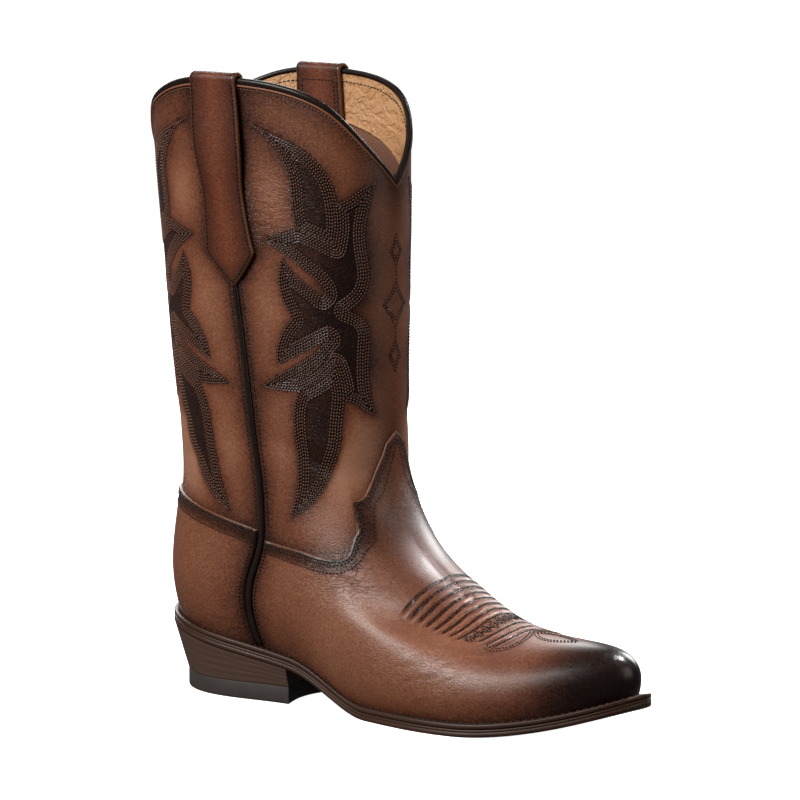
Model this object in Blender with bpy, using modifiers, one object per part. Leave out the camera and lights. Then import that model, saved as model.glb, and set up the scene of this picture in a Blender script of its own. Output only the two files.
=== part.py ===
"""A right-foot western boot, standing empty on its heel and forefoot.

Sizes are in millimetres and meshes are made in metres. +X points to the toe, +Y to the inner
side of the foot and +Z up. The upper is one smooth surface through a stack of sections, counted
in two numbers: the station runs round the boot and the row runs from the sole to the collar.
"""

from collections import namedtuple

import bpy
import numpy as np

MM = 0.001

# Driving dimensions
BOOT_LENGTH = 296.0
BALL_WIDTH = 90.0
INSTEP_HEIGHT = 130.0
BOOT_HEIGHT = 319.0
HEEL_HEIGHT = 34.0

# Sole, from the floor up
BREAST_HEIGHT = 18.5
BREAST_X = 95.0
BREAST_HOLLOW = 10.0
TREAD_START = 154.0
TREAD_END = 212.0
TOE_SPRING = 17.5
OUTSOLE_THICKNESS = 4.0
OUTSOLE_EDGE = 0.9
WELT_THICKNESS = 2.4
INSOLE_THICKNESS = 3.0
HEEL_CAP_THICKNESS = 9.0
HEEL_CAP_EDGE = 1.2
HEEL_BACK_RAKE = 9.0
HEEL_SIDE_RAKE = 2.6

# Leather, and the space left between pieces that lie against each other
UPPER_WALL = 1.8
OVERLAY_WALL = 1.3
BINDING_WALL = 0.9
BINDING_DEPTH = 4.0
STRAP_WALL = 2.0
PIPING_WIDTH = 4.4
PIPING_RISE = 2.0
GAP = 0.3

# Pull straps, which fold over the collar at the side seams and end in a point
STRAP_FOLD_RISE = 5.0
STRAP_INNER_DEPTH = 55.0
STRAP_TIP_HEIGHT = 214.0
STRAP_POINT = 18.0

# Mesh density
HALF_COLUMNS = 26
FOOT_SLICES = 13
SHAFT_SLICES = 7
SOLE_COLUMNS = 72
HEEL_COLUMNS = 44
HEEL_SLICES = 3
STRAP_COLUMNS = 7
STRAP_OUTER_SLICES = 9
STRAP_FOLD_SLICES = 5
STRAP_INNER_SLICES = 5
SHARP_ANGLE = 0.7

# Steps of the searches and measures along the surface, and margins counted in stations
FINE_STEPS = 240
HALVINGS = 30
SLOPE_REACH = 0.03
OVERLAY_MARGIN = 0.3
PIPING_MARGIN = 0.6

# Stations round the boot: 0 back, 1 heel, 2 side seam, 3 waist, 4 ball, 5 toe, 6 front,
# then 7 to 11 come back along the inner side.
STATION_COUNT = 12
SEAM = 2
FRONT = 6
HEEL_SHARE = 0.34
FORE_SHARES = (0.27, 0.60, 0.87)
SWING = (0.0, 0.0, -0.8, -3.2, -1.0, 2.4, 4.0)

# Sections of the foot. Lengths along the boot are percent of BOOT_LENGTH, heights percent of
# INSTEP_HEIGHT and half widths percent of BALL_WIDTH. follow says how far the section dips with
# the sole between its ends, and swing how far it leans to the inner side with the last.
FootRow = namedtuple("FootRow", "back_x back_z front_x front_z seam_x follow swing heel seam waist ball toe")
FOOT_ROWS = (
    FootRow(1.1, 0.0, 96.3, 0.0, 26.2, 1.0, 1.00, 31.5, 33.5, 35.0, 47.0, 28.5),
    FootRow(0.3, 38.5, 97.0, 25.0, 25.0, 1.0, 1.00, 34.0, 37.0, 39.5, 49.5, 30.0),
    FootRow(-0.2, 48.0, 94.3, 31.5, 24.4, 1.0, 0.95, 35.0, 39.0, 42.0, 48.0, 28.5),
    FootRow(-0.2, 58.5, 87.6, 33.8, 24.9, 1.0, 0.90, 34.5, 39.5, 42.5, 43.5, 24.0),
    FootRow(0.1, 67.5, 76.5, 35.6, 26.1, 1.0, 0.75, 33.5, 39.5, 42.0, 40.0, 20.5),
    FootRow(0.5, 77.0, 65.8, 45.0, 27.2, 1.0, 0.50, 32.5, 39.5, 40.5, 37.5, 22.0),
    FootRow(0.8, 86.0, 54.3, 61.2, 27.3, 0.8, 0.25, 32.0, 39.5, 39.5, 35.5, 23.5),
    FootRow(0.8, 95.5, 48.0, 80.4, 26.9, 0.4, 0.00, 32.5, 40.0, 39.5, 34.5, 24.0),
    FootRow(0.4, 107.5, 46.8, 100.0, 26.1, 0.0, 0.00, 33.0, 41.2, 40.5, 35.0, 23.5),
)

# Sections of the shaft: level rounded ovals. Heights are percent of BOOT_HEIGHT.
ShaftRow = namedtuple("ShaftRow", "height back_x front_x seam_x side")
SHAFT_ROWS = (
    ShaftRow(52.5, -0.4, 46.8, 24.8, 42.7),
    ShaftRow(65.5, -1.8, 47.0, 22.9, 44.2),
    ShaftRow(80.5, -3.4, 47.1, 20.9, 46.2),
    ShaftRow(102.0, -5.9, 47.0, 18.9, 48.2),
)
OVAL_POWER = 2.35
THROAT_ROW = len(FOOT_ROWS) - 1
TOP_ROW = len(FOOT_ROWS) + len(SHAFT_ROWS) - 1

# Drop of the collar from the side seam to its dips in front and behind, as shares of the way.
DIP_DEPTH = 51.0
CollarPoint = namedtuple("CollarPoint", "way front back")
COLLAR_LINE = (
    CollarPoint(0.0, 0.0, 0.0),
    CollarPoint(0.25, 0.02, 0.04),
    CollarPoint(0.5, 0.12, 0.19),
    CollarPoint(0.65, 0.28, 0.35),
    CollarPoint(0.8, 0.58, 0.62),
    CollarPoint(1.0, 1.0, 1.0),
)

# Top edge of the vamp, from the side seam past its ear to the peak of its tongue.
VampPoint = namedtuple("VampPoint", "station row")
VAMP_LINE = (
    VampPoint(2.0, 5.05),
    VampPoint(2.5, 5.15),
    VampPoint(3.2, 5.39),
    VampPoint(3.75, 5.64),
    VampPoint(4.2, 5.95),
    VampPoint(4.58, 6.38),
    VampPoint(4.73, 6.68),
    VampPoint(4.79, 7.04),
    VampPoint(5.2, 7.26),
    VampPoint(5.5, 7.82),
    VampPoint(5.7, 8.15),
    VampPoint(6.0, 8.30),
)
VAMP_CORNERS = (4.79, 5.7)
COUNTER_ROW = 5.33
OVERLAY_FOOT_ROW = 0.14
PIPING_FOOT_ROW = 0.4
WELT_ROW = 0.3

# A piece of the upper's sheet, with the station and row of every point.
Sheet = namedtuple("Sheet", "points station row faces")
TRIM_SNAP = 0.02

# Width of the welt that shows beyond the upper, at the stations from the back to the front.
LEDGE = (2.6, 2.4, 1.8, 1.4, 5.0, 5.6, 6.0)

# Half width of a pull strap down its outer leg, by height above the floor.
StrapPoint = namedtuple("StrapPoint", "height half")
STRAP_OUTLINE = (
    StrapPoint(229.0, 16.2),
    StrapPoint(240.0, 14.4),
    StrapPoint(251.0, 12.6),
    StrapPoint(265.0, 12.2),
    StrapPoint(279.0, 15.0),
    StrapPoint(295.0, 16.2),
    StrapPoint(316.0, 16.0),
)


def natural_bends(knots, values):
    """Second derivatives of the cubic spline through values, with free ends."""
    steps = np.diff(knots)
    matrix = np.eye(len(knots))
    right = np.zeros_like(values)
    for i in range(1, len(knots) - 1):
        matrix[i, i - 1 : i + 2] = steps[i - 1], 2 * (steps[i - 1] + steps[i]), steps[i]
        right[i] = 6 * ((values[i + 1] - values[i]) / steps[i] - (values[i] - values[i - 1]) / steps[i - 1])
    return np.linalg.solve(matrix, right)


def cubic_piece(low, high, low_bend, high_bend, step, share):
    """A point at a share of the way along one span of a cubic spline."""
    near, far = 1 - share, share
    bend = (near**3 - near) * low_bend + (far**3 - far) * high_bend
    return near * low + far * high + step**2 / 6 * bend


def smooth_table(knots, values, at):
    """A smooth curve through a short table, held level beyond its ends."""
    knots = np.asarray(knots, float)
    values = np.asarray(values, float)
    at = np.clip(at, knots[0], knots[-1])
    bends = natural_bends(knots, values)
    i = np.clip(np.searchsorted(knots, at, side="right") - 1, 0, len(knots) - 2)
    step = knots[i + 1] - knots[i]
    return cubic_piece(values[i], values[i + 1], bends[i], bends[i + 1], step, (at - knots[i]) / step)


def sole_bottom(x):
    """Height of the outsole's underside: heel seat, shank, flat tread and toe spring."""
    x = np.asarray(x, float)
    seat_slope = (BREAST_HEIGHT - HEEL_HEIGHT) / BREAST_X
    seat = HEEL_HEIGHT + seat_slope * x
    reach = TREAD_START - BREAST_X
    share = np.clip((x - BREAST_X) / reach, 0, 1)
    shank = (1 - share) ** 2 * ((1 + 2 * share) * BREAST_HEIGHT + share * seat_slope * reach)
    spring = TOE_SPRING * (np.clip(x - TREAD_END, 0, None) / (BOOT_LENGTH - TREAD_END)) ** 2
    return np.where(x < BREAST_X, seat, shank + spring)


def sole_top(x):
    """Height of the underside of what stands on the outsole."""
    return sole_bottom(x) + OUTSOLE_THICKNESS + GAP


def station_places(row):
    """Positions along the boot of a section's stations from the back to the front."""
    fore = [row.seam_x + share * (row.front_x - row.seam_x) for share in FORE_SHARES]
    heel = row.back_x + HEEL_SHARE * (row.seam_x - row.back_x)
    return np.array([row.back_x, heel, row.seam_x, *fore, row.front_x]) * BOOT_LENGTH / 100


def loop_of(x, z, half, centre):
    """The twelve points of a section, from its outer half and the inner half that mirrors it."""
    outer = np.column_stack([x, centre - half, z])
    inner = np.column_stack([x, centre + half, z])
    return np.vstack([outer, inner[-2:0:-1]])


def foot_loop(row):
    """The section of the foot that a table row describes; the lowest row lies on the sole."""
    x = station_places(row)
    share = (x - x[0]) / (x[-1] - x[0])
    sole = sole_top(x)
    sole_chord = sole[0] + share * (sole[-1] - sole[0])
    back_z = max(row.back_z * INSTEP_HEIGHT / 100, sole[0])
    front_z = max(row.front_z * INSTEP_HEIGHT / 100, sole[-1])
    z = back_z + share * (front_z - back_z) + row.follow * (sole - sole_chord)
    half = np.array([0, row.heel, row.seam, row.waist, row.ball, row.toe, 0]) * BALL_WIDTH / 100
    return loop_of(x, z, half, row.swing * np.array(SWING))


def shaft_loop(row):
    """A level oval of the shaft."""
    x = station_places(row)
    across = np.abs(2 * (x - x[0]) / (x[-1] - x[0]) - 1)
    half = row.side * BALL_WIDTH / 100 * (1 - across**OVAL_POWER) ** (1 / OVAL_POWER)
    return loop_of(x, np.full(len(x), row.height * BOOT_HEIGHT / 100), half, 0)


NET = np.array([foot_loop(row) for row in FOOT_ROWS] + [shaft_loop(row) for row in SHAFT_ROWS])
ROW_STEPS = np.linalg.norm(np.diff(NET, axis=0), axis=2).mean(axis=1)
ROW_KNOTS = np.concatenate([[0], np.cumsum(ROW_STEPS)])
ROW_BENDS = natural_bends(ROW_KNOTS, NET.reshape(TOP_ROW + 1, -1)).reshape(NET.shape)


def spline_point(station, row):
    """Points of the smooth surface through the sections, at matching arrays of stations and rows."""
    station, row = np.broadcast_arrays(np.asarray(station, float), np.asarray(row, float))
    shape = station.shape
    station, row = station.ravel(), row.ravel()
    i = np.clip(row.astype(int), 0, TOP_ROW - 1)
    share = (row - i)[:, None, None]
    step = ROW_STEPS[i][:, None, None]
    loops = cubic_piece(NET[i], NET[i + 1], ROW_BENDS[i], ROW_BENDS[i + 1], step, share)
    ahead = np.roll(loops, -1, axis=1)
    chord = np.linalg.norm(ahead - loops, axis=2)
    behind = np.roll(chord, 1, axis=1)
    slope = (ahead - loops) / chord[:, :, None]
    matrix = np.zeros((len(row), STATION_COUNT, STATION_COUNT))
    for k in range(STATION_COUNT):
        matrix[:, k, k - 1] = behind[:, k]
        matrix[:, k, k] = 2 * (behind[:, k] + chord[:, k])
        matrix[:, k, (k + 1) % STATION_COUNT] = chord[:, k]
    bends = np.linalg.solve(matrix, 6 * (slope - np.roll(slope, 1, axis=1)))
    every = np.arange(len(row))
    k = np.floor(station).astype(int)
    share = (station - k)[:, None]
    k, after = k % STATION_COUNT, (k + 1) % STATION_COUNT
    length = chord[every, k][:, None]
    low, high = loops[every, k], loops[every, after]
    low_bend, high_bend = bends[every, k], bends[every, after]
    return cubic_piece(low, high, low_bend, high_bend, length, share).reshape(*shape, 3)


FIT_STATIONS = np.linspace(0, STATION_COUNT, 2 * FINE_STEPS + 1)
LOWEST_LINE = spline_point(FIT_STATIONS, 0)
FIT_LIFT = sole_top(LOWEST_LINE[:, 0]) - LOWEST_LINE[:, 2]
FIT_ROWS = 2.0


def surface(station, row):
    """Points of the upper's outer face, whose lowest row lies on the sole all the way round."""
    points = spline_point(station, row)
    lift = np.interp(np.asarray(station, float) % STATION_COUNT, FIT_STATIONS, FIT_LIFT)
    points[..., 2] += lift * np.clip(1 - np.asarray(row, float) / FIT_ROWS, 0, 1) ** 2
    return points


def normal(station, row):
    """Outward direction of the upper's outer face."""
    station, row = np.broadcast_arrays(np.asarray(station, float), np.asarray(row, float))
    along = surface(station + SLOPE_REACH, row) - surface(station - SLOPE_REACH, row)
    above = np.minimum(row + SLOPE_REACH, TOP_ROW)
    below = np.maximum(row - SLOPE_REACH, 0)
    up = surface(station, above) - surface(station, below)
    outward = np.cross(along, up)
    return outward / np.linalg.norm(outward, axis=-1, keepdims=True)


def offset(station, row, distance):
    """Points a distance outside the upper's outer face, or inside it where that is negative."""
    return surface(station, row) + normal(station, row) * np.asarray(distance, float)[..., None]


def row_at_height(station, height):
    """The row at which the shaft reaches a height."""
    station, height = np.broadcast_arrays(np.asarray(station, float), np.asarray(height, float))
    low = np.full(station.shape, THROAT_ROW - 1.0)
    high = np.full(station.shape, float(TOP_ROW))
    for _ in range(HALVINGS):
        middle = (low + high) / 2
        under = surface(station, middle)[..., 2] < height
        low = np.where(under, middle, low)
        high = np.where(under, high, middle)
    return low


def folded(station):
    """A station counted from the back on either side, from 0 to 6."""
    return np.abs((np.asarray(station, float) + FRONT) % STATION_COUNT - FRONT)


def lengths_along(stations, row):
    """Distances along the leather of one row, from the first of the stations."""
    points = surface(stations, row)
    return np.concatenate([[0], np.cumsum(np.linalg.norm(np.diff(points, axis=0), axis=1))])


def station_beside_seam(row, distance):
    """The station that lies a distance along the leather from the outer side seam, row by row."""
    fine = np.linspace(SEAM - 1.5, SEAM + 2.5, FINE_STEPS + 1)
    rows, distances = np.broadcast_arrays(np.asarray(row, float), np.asarray(distance, float))
    found = []
    for one_row, one_distance in zip(rows.ravel(), distances.ravel()):
        length = lengths_along(fine, one_row)
        found.append(np.interp(one_distance, length - np.interp(SEAM, fine, length), fine))
    return np.array(found).reshape(rows.shape)


def collar_row(station):
    """The row of the scalloped collar edge."""
    fine = np.linspace(0, FRONT, FINE_STEPS + 1)
    length = lengths_along(fine, TOP_ROW)
    seam = np.interp(SEAM, fine, length)
    place = np.interp(folded(station), fine, length)
    way = np.where(place >= seam, (place - seam) / (length[-1] - seam), (seam - place) / seam)
    ways = [p.way for p in COLLAR_LINE]
    front = smooth_table(ways, [p.front for p in COLLAR_LINE], way)
    back = smooth_table(ways, [p.back for p in COLLAR_LINE], way)
    return row_at_height(station, BOOT_HEIGHT - DIP_DEPTH * np.where(place >= seam, front, back))


def vamp_row(station):
    """The row of the vamp's top edge, alike on both sides."""
    return np.interp(folded(station), [p.station for p in VAMP_LINE], [p.row for p in VAMP_LINE])


def sole_line(station, beyond):
    """Plan outline of the sole, a distance beyond the wall of the upper and its overlays."""
    rim = offset(station, WELT_ROW, GAP + OVERLAY_WALL + GAP)[..., :2]
    outward = normal(station, WELT_ROW)[..., :2]
    outward /= np.linalg.norm(outward, axis=-1, keepdims=True)
    return rim + outward * np.asarray(beyond, float)[..., None]


def ledge(station):
    """Width of the welt that shows beyond the upper at a station."""
    return smooth_table(range(FRONT + 1), LEDGE, folded(station))


def with_height(outline, height):
    """Plan points lifted to a height, which may differ from point to point."""
    return np.column_stack([outline, np.broadcast_to(height, len(outline))])


def leather(name, colour, roughness):
    """A material of one colour and sheen."""
    material = bpy.data.materials.new(name)
    material.use_nodes = True
    shader = material.node_tree.nodes["Principled BSDF"]
    shader.inputs["Base Color"].default_value = (*colour, 1)
    shader.inputs["Roughness"].default_value = roughness
    shader.inputs["Metallic"].default_value = 0
    return material


def add_object(name, points, faces, material, collection):
    """A smooth-shaded mesh object from points in millimetres."""
    mesh = bpy.data.meshes.new(name)
    mesh.from_pydata((np.asarray(points) * MM).tolist(), [], faces)
    mesh.materials.append(material)
    mesh.shade_smooth()
    mesh.set_sharp_from_angle(angle=SHARP_ANGLE)
    obj = bpy.data.objects.new(name, mesh)
    collection.objects.link(obj)
    return obj


def grid_faces(rows, columns, closed):
    """Quads of a grid whose points are stored row by row, joined end to end where it is closed."""
    faces = []
    for i in range(rows - 1):
        for j in range(columns if closed else columns - 1):
            k = (j + 1) % columns
            faces.append((i * columns + j, i * columns + k, (i + 1) * columns + k, (i + 1) * columns + j))
    return faces


def thicken(obj, wall):
    """Give a sheet its wall, outwards, or inwards where the wall is negative."""
    solid = obj.modifiers.new("wall", "SOLIDIFY")
    solid.thickness = abs(wall) * MM
    solid.offset = 1 if wall > 0 else -1
    solid.use_even_offset = True


def add_shell(name, grid, wall, material, collection, closed=False):
    """A bent sheet of leather from an open grid of points."""
    rows, columns, _ = grid.shape
    obj = add_object(name, grid.reshape(-1, 3), grid_faces(rows, columns, closed), material, collection)
    thicken(obj, wall)


def add_stack(name, rings, material, collection):
    """A solid from rings of points stacked upwards, with its two ends closed by rungs."""
    count = len(rings[0])
    faces = grid_faces(len(rings), count, True)
    top = (len(rings) - 1) * count
    for i in range(count // 2):
        rung = list(dict.fromkeys([i, (count - i) % count, count - i - 1, i + 1]))
        faces.append(rung)
        faces.append([top + k for k in reversed(rung)])
    add_object(name, np.vstack(rings), faces, material, collection)


def add_hoop(name, rings, material, collection):
    """A closed band from rings of points that follow each other round its cross-section."""
    count = len(rings[0])
    total = len(rings) * count
    faces = [tuple(k % total for k in face) for face in grid_faces(len(rings) + 1, count, True)]
    add_object(name, np.vstack(rings), faces, material, collection)


def column_stations():
    """Stations of the upper's columns, with one on each seam and at each corner of the vamp's edge."""
    outer = np.linspace(0, FRONT, HALF_COLUMNS + 1)
    for corner in (SEAM, *VAMP_CORNERS):
        outer[np.argmin(np.abs(outer - corner))] = corner
    return np.concatenate([outer, STATION_COUNT - outer[-2:0:-1]])


def slice_rows(station):
    """Rows of the upper's slices at each station: level in the foot, then up to the collar."""
    foot = np.linspace(0, THROAT_ROW, FOOT_SLICES)[:, None] + 0 * station
    share = np.linspace(0, 1, SHAFT_SLICES + 1)[1:, None]
    shaft = THROAT_ROW + share * (collar_row(station) - THROAT_ROW)
    return np.vstack([foot, shaft])


def sheet(station, distance, closed=False):
    """The upper's own facets over a run of stations, at a distance from its outer face."""
    row = slice_rows(station)
    station = np.broadcast_to(station, row.shape)
    points = offset(station, row, np.full(row.shape, distance)).reshape(-1, 3)
    faces = []
    for a, b, c, d in grid_faces(*row.shape, closed):
        faces += [(a, b, c), (a, c, d)]
    return Sheet(points, station.ravel(), row.ravel(), faces)


def trim(whole, keep):
    """Cut a sheet along the line where keep, a function of station and row, falls below zero."""
    value = keep(whole.station, whole.row)
    value[np.abs(value) < TRIM_SNAP] = 0
    data = np.column_stack([whole.points, whole.station, whole.row])
    corners = list(data)
    crossings = {}
    faces = []
    for face in whole.faces:
        kept = []
        for a, b in zip(face, face[1:] + face[:1]):
            if value[a] >= 0:
                kept.append(a)
            if value[a] * value[b] < 0:
                edge = min(a, b), max(a, b)
                if edge not in crossings:
                    crossings[edge] = len(corners)
                    corners.append(data[a] + value[a] / (value[a] - value[b]) * (data[b] - data[a]))
                kept.append(crossings[edge])
        if len(kept) > 2:
            faces.append(tuple(kept))
    used = sorted({k for face in faces for k in face})
    place = {k: i for i, k in enumerate(used)}
    data = np.array([corners[k] for k in used])
    return Sheet(data[:, :3], data[:, 3], data[:, 4], [tuple(place[k] for k in face) for face in faces])


def add_panel(name, panel, wall, material, collection):
    """A piece of leather cut from the upper's sheet."""
    thicken(add_object(name, panel.points, panel.faces, material, collection), wall)


def seam_distance(station, row):
    """Distance along the leather forward of the nearer side seam, negative behind it."""
    fine = np.linspace(SEAM - 1, SEAM + 1, FINE_STEPS + 1)
    near = folded(station)
    found = np.empty(len(near))
    for one_row in np.unique(row):
        length = lengths_along(fine, one_row)
        length -= np.interp(SEAM, fine, length)
        here = row == one_row
        found[here] = np.interp(near[here], fine, length)
    return found


def add_upper(material, collection):
    """The hollow body of the boot, open at the collar and underneath."""
    add_panel("upper", sheet(column_stations(), 0, closed=True), -UPPER_WALL, material, collection)


def add_vamp(material, collection):
    """The front overlay of the foot, which rises to a tongue on the shaft."""
    station = column_stations()
    station = station[folded(station) > SEAM - OVERLAY_MARGIN]
    panel = trim(sheet(station, GAP), lambda s, r: vamp_row(s) - r)
    panel = trim(panel, lambda s, r: r - OVERLAY_FOOT_ROW)
    panel = trim(panel, lambda s, r: seam_distance(s, r) - PIPING_WIDTH / 2 - GAP)
    add_panel("vamp", panel, OVERLAY_WALL, material, collection)


def add_counter(material, collection):
    """The overlay round the heel."""
    station = column_stations()
    station = np.concatenate([station[station > FRONT] - STATION_COUNT, station[station < FRONT]])
    station = station[np.abs(station) < SEAM + OVERLAY_MARGIN]
    panel = trim(sheet(station, GAP), lambda s, r: COUNTER_ROW - r)
    panel = trim(panel, lambda s, r: r - OVERLAY_FOOT_ROW)
    panel = trim(panel, lambda s, r: -seam_distance(s, r) - PIPING_WIDTH / 2 - GAP)
    add_panel("counter", panel, OVERLAY_WALL, material, collection)


def add_side_piping(name, seam, material, collection):
    """The raised strip down a side seam, from the point of the pull strap to the welt."""
    station = column_stations()
    station = station[np.abs(station - seam) < PIPING_MARGIN]
    tip_row = row_at_height(SEAM, STRAP_TIP_HEIGHT - GAP - STRAP_WALL)
    panel = trim(sheet(station, GAP), lambda s, r: tip_row - r)
    panel = trim(panel, lambda s, r: r - PIPING_FOOT_ROW)
    panel = trim(panel, lambda s, r: PIPING_WIDTH / 2 - np.abs(seam_distance(s, r)))
    add_panel(name, panel, PIPING_RISE, material, collection)


def seam_side(station, inner):
    """Stations beside the outer side seam, or the same on the inner side in the same turning order."""
    return STATION_COUNT - station[:, ::-1] if inner else station


def add_collar_binding(material, collection):
    """The folded strip that binds the collar edge, inside and out."""
    station = column_stations()
    depth = BINDING_DEPTH / ROW_STEPS[-1]
    lift = GAP / ROW_STEPS[-1]
    inside = -UPPER_WALL - GAP
    fold = ((-depth, GAP), (0, GAP), (2 * lift, -UPPER_WALL / 2), (0, inside), (-depth, inside))
    edge = collar_row(station)
    rows = [offset(station, edge + rise, np.full(len(station), reach)) for rise, reach in fold]
    add_shell("collar_binding", np.array(rows), BINDING_WALL, material, collection, closed=True)


def strap_half_width(height):
    """Half width of a pull strap at a height on its outer leg, held level above it."""
    return smooth_table([p.height for p in STRAP_OUTLINE], [p.half for p in STRAP_OUTLINE], height)


def add_pull_strap(name, inner, material, collection):
    """A strap from its point outside the shaft, up over the collar and down inside."""
    across = np.linspace(-1, 1, STRAP_COLUMNS)
    clear = GAP + BINDING_WALL + GAP
    inside = UPPER_WALL + clear
    fold_height = BOOT_HEIGHT + GAP
    low = STRAP_TIP_HEIGHT + STRAP_POINT * np.abs(across)
    up = np.linspace(0, 1, STRAP_OUTER_SLICES)
    turn = np.linspace(0, np.pi, STRAP_FOLD_SLICES + 2)[1:-1]
    down = np.linspace(0, 1, STRAP_INNER_SLICES)
    outer_heights = low + up[:, None] * (fold_height - low)
    fold_heights = np.full((STRAP_FOLD_SLICES, STRAP_COLUMNS), fold_height)
    inner_heights = fold_height - down[:, None] * STRAP_INNER_DEPTH + 0 * across
    heights = np.vstack([outer_heights, fold_heights, inner_heights])
    rise = STRAP_FOLD_RISE * np.sin(np.concatenate([0 * up, turn, 0 * down]))
    outer_reach = GAP + (clear - GAP) * up
    turn_reach = (clear - inside) / 2 + (clear + inside) / 2 * np.cos(turn)
    reach = np.concatenate([outer_reach, turn_reach, 0 * down - inside])
    row = row_at_height(SEAM, heights)
    station = station_beside_seam(row, across * strap_half_width(heights))
    station = seam_side(station, inner)
    if inner:
        row = row[:, ::-1]
    grid = offset(station, row, np.broadcast_to(reach[:, None], row.shape))
    grid[..., 2] += rise[:, None]
    add_shell(name, grid, STRAP_WALL, material, collection)


def add_outsole(material, collection):
    """The sole from heel to toe, with a slightly rounded lower edge."""
    station = np.arange(SOLE_COLUMNS) * STATION_COUNT / SOLE_COLUMNS
    outline = sole_line(station, ledge(station))
    inset = sole_line(station, ledge(station) - OUTSOLE_EDGE)
    floor = with_height(inset, sole_bottom(inset[:, 0]))
    low = with_height(outline, sole_bottom(outline[:, 0]) + OUTSOLE_EDGE)
    top = with_height(outline, sole_bottom(outline[:, 0]) + OUTSOLE_THICKNESS)
    add_stack("outsole", [floor, low, top], material, collection)


def add_welt(material, collection):
    """The strip round the sole that shows outside the upper."""
    station = np.arange(SOLE_COLUMNS) * STATION_COUNT / SOLE_COLUMNS
    within = sole_line(station, np.zeros(SOLE_COLUMNS))
    outline = sole_line(station, ledge(station))
    low = [with_height(line, sole_top(line[:, 0])) for line in (within, outline)]
    high = [with_height(line, sole_top(line[:, 0]) + WELT_THICKNESS) for line in (outline, within)]
    add_hoop("welt", low + high, material, collection)


def add_insole(material, collection):
    """The board inside the upper, on the outsole."""
    station = np.arange(SOLE_COLUMNS) * STATION_COUNT / SOLE_COLUMNS
    outline = offset(station, 0 * station, np.full(SOLE_COLUMNS, -UPPER_WALL - 4 * GAP))[:, :2]
    low = with_height(outline, sole_top(outline[:, 0]))
    high = with_height(outline, sole_top(outline[:, 0]) + INSOLE_THICKNESS)
    add_stack("insole", [low, high], material, collection)


def heel_outline(inset):
    """Plan outline under the heel seat, from the outer corner along the hollow breast and back round."""
    fine = np.linspace(0, SEAM + 1, FINE_STEPS + 1)
    outer = sole_line(fine, ledge(fine) - inset)
    inner = sole_line(-fine, ledge(fine) - inset)
    front = BREAST_X - inset
    outer_end = np.interp(front, outer[:, 0], fine)
    inner_end = np.interp(front, inner[:, 0], fine)
    half = HEEL_COLUMNS // 2
    rear_station = np.linspace(-inner_end, outer_end, half + 1)
    rear = sole_line(rear_station, ledge(rear_station) - inset)
    share = np.linspace(0, 1, half + 1)[1:-1, None]
    breast = rear[-1] + share * (rear[0] - rear[-1])
    breast[:, 0] = front - BREAST_HOLLOW * np.sin(np.pi * share[:, 0])
    return np.vstack([rear[-1:], breast, rear[:-1]])


def raked(outline, share):
    """A heel outline drawn in towards the floor: fully at a share of 1, more behind than beside."""
    back = np.clip((BREAST_X - outline[:, 0]) / BREAST_X, 0, 1)
    narrow = 1 - share * HEEL_SIDE_RAKE / np.abs(outline[:, 1]).max()
    return np.column_stack([outline[:, 0] + share * HEEL_BACK_RAKE * back, outline[:, 1] * narrow])


def add_heel_stack(material, collection):
    """The stacked heel between the heel seat and its cap."""
    outline = heel_outline(GAP)
    seat = sole_bottom(outline[:, 0]) - GAP
    floor = HEEL_CAP_THICKNESS + GAP
    rings = []
    for share in np.linspace(1, 0, HEEL_SLICES):
        rings.append(with_height(raked(outline, share), share * floor + (1 - share) * seat))
    add_stack("heel_stack", rings, material, collection)


def add_heel_cap(material, collection):
    """The piece under the heel that stands on the floor."""
    outline = raked(heel_outline(GAP), 1)
    inset = raked(heel_outline(GAP + HEEL_CAP_EDGE), 1)
    floor = with_height(inset, 0)
    low = with_height(outline, HEEL_CAP_EDGE)
    top = with_height(outline, HEEL_CAP_THICKNESS)
    add_stack("heel_cap", [floor, low, top], material, collection)


def stand_on_origin(collection):
    """Carry every piece on one empty that puts the middle of the footprint at the origin."""
    graph = bpy.context.evaluated_depsgraph_get()
    corners = []
    for obj in collection.objects:
        shape = obj.evaluated_get(graph).to_mesh()
        points = np.array([vertex.co[:] for vertex in shape.vertices])
        corners += [points.min(axis=0), points.max(axis=0)]
    low, high = np.min(corners, axis=0), np.max(corners, axis=0)
    frame = bpy.data.objects.new("boot_frame", None)
    collection.objects.link(frame)
    frame.location = (-(low[0] + high[0]) / 2, -(low[1] + high[1]) / 2, -low[2])
    for obj in collection.objects:
        if obj is not frame:
            obj.parent = frame


def main():
    for obj in list(bpy.data.objects):
        bpy.data.objects.remove(obj)
    boot = bpy.data.collections.new("western_boot")
    bpy.context.scene.collection.children.link(boot)
    brown = leather("burnished_brown_leather", (0.16, 0.065, 0.035), 0.4)
    dark = leather("dark_edge_leather", (0.03, 0.015, 0.01), 0.4)
    sole = leather("sole_leather", (0.07, 0.04, 0.028), 0.5)
    rubber = leather("heel_rubber", (0.03, 0.026, 0.023), 0.7)
    tan = leather("tan_insole_leather", (0.5, 0.28, 0.12), 0.6)
    add_outsole(sole, boot)
    add_heel_stack(sole, boot)
    add_heel_cap(rubber, boot)
    add_welt(sole, boot)
    add_insole(tan, boot)
    add_upper(brown, boot)
    add_vamp(brown, boot)
    add_counter(brown, boot)
    add_side_piping("side_piping_outer", SEAM, dark, boot)
    add_side_piping("side_piping_inner", STATION_COUNT - SEAM, dark, boot)
    add_collar_binding(dark, boot)
    add_pull_strap("pull_strap_outer", False, brown, boot)
    add_pull_strap("pull_strap_inner", True, brown, boot)
    stand_on_origin(boot)


main()
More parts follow.
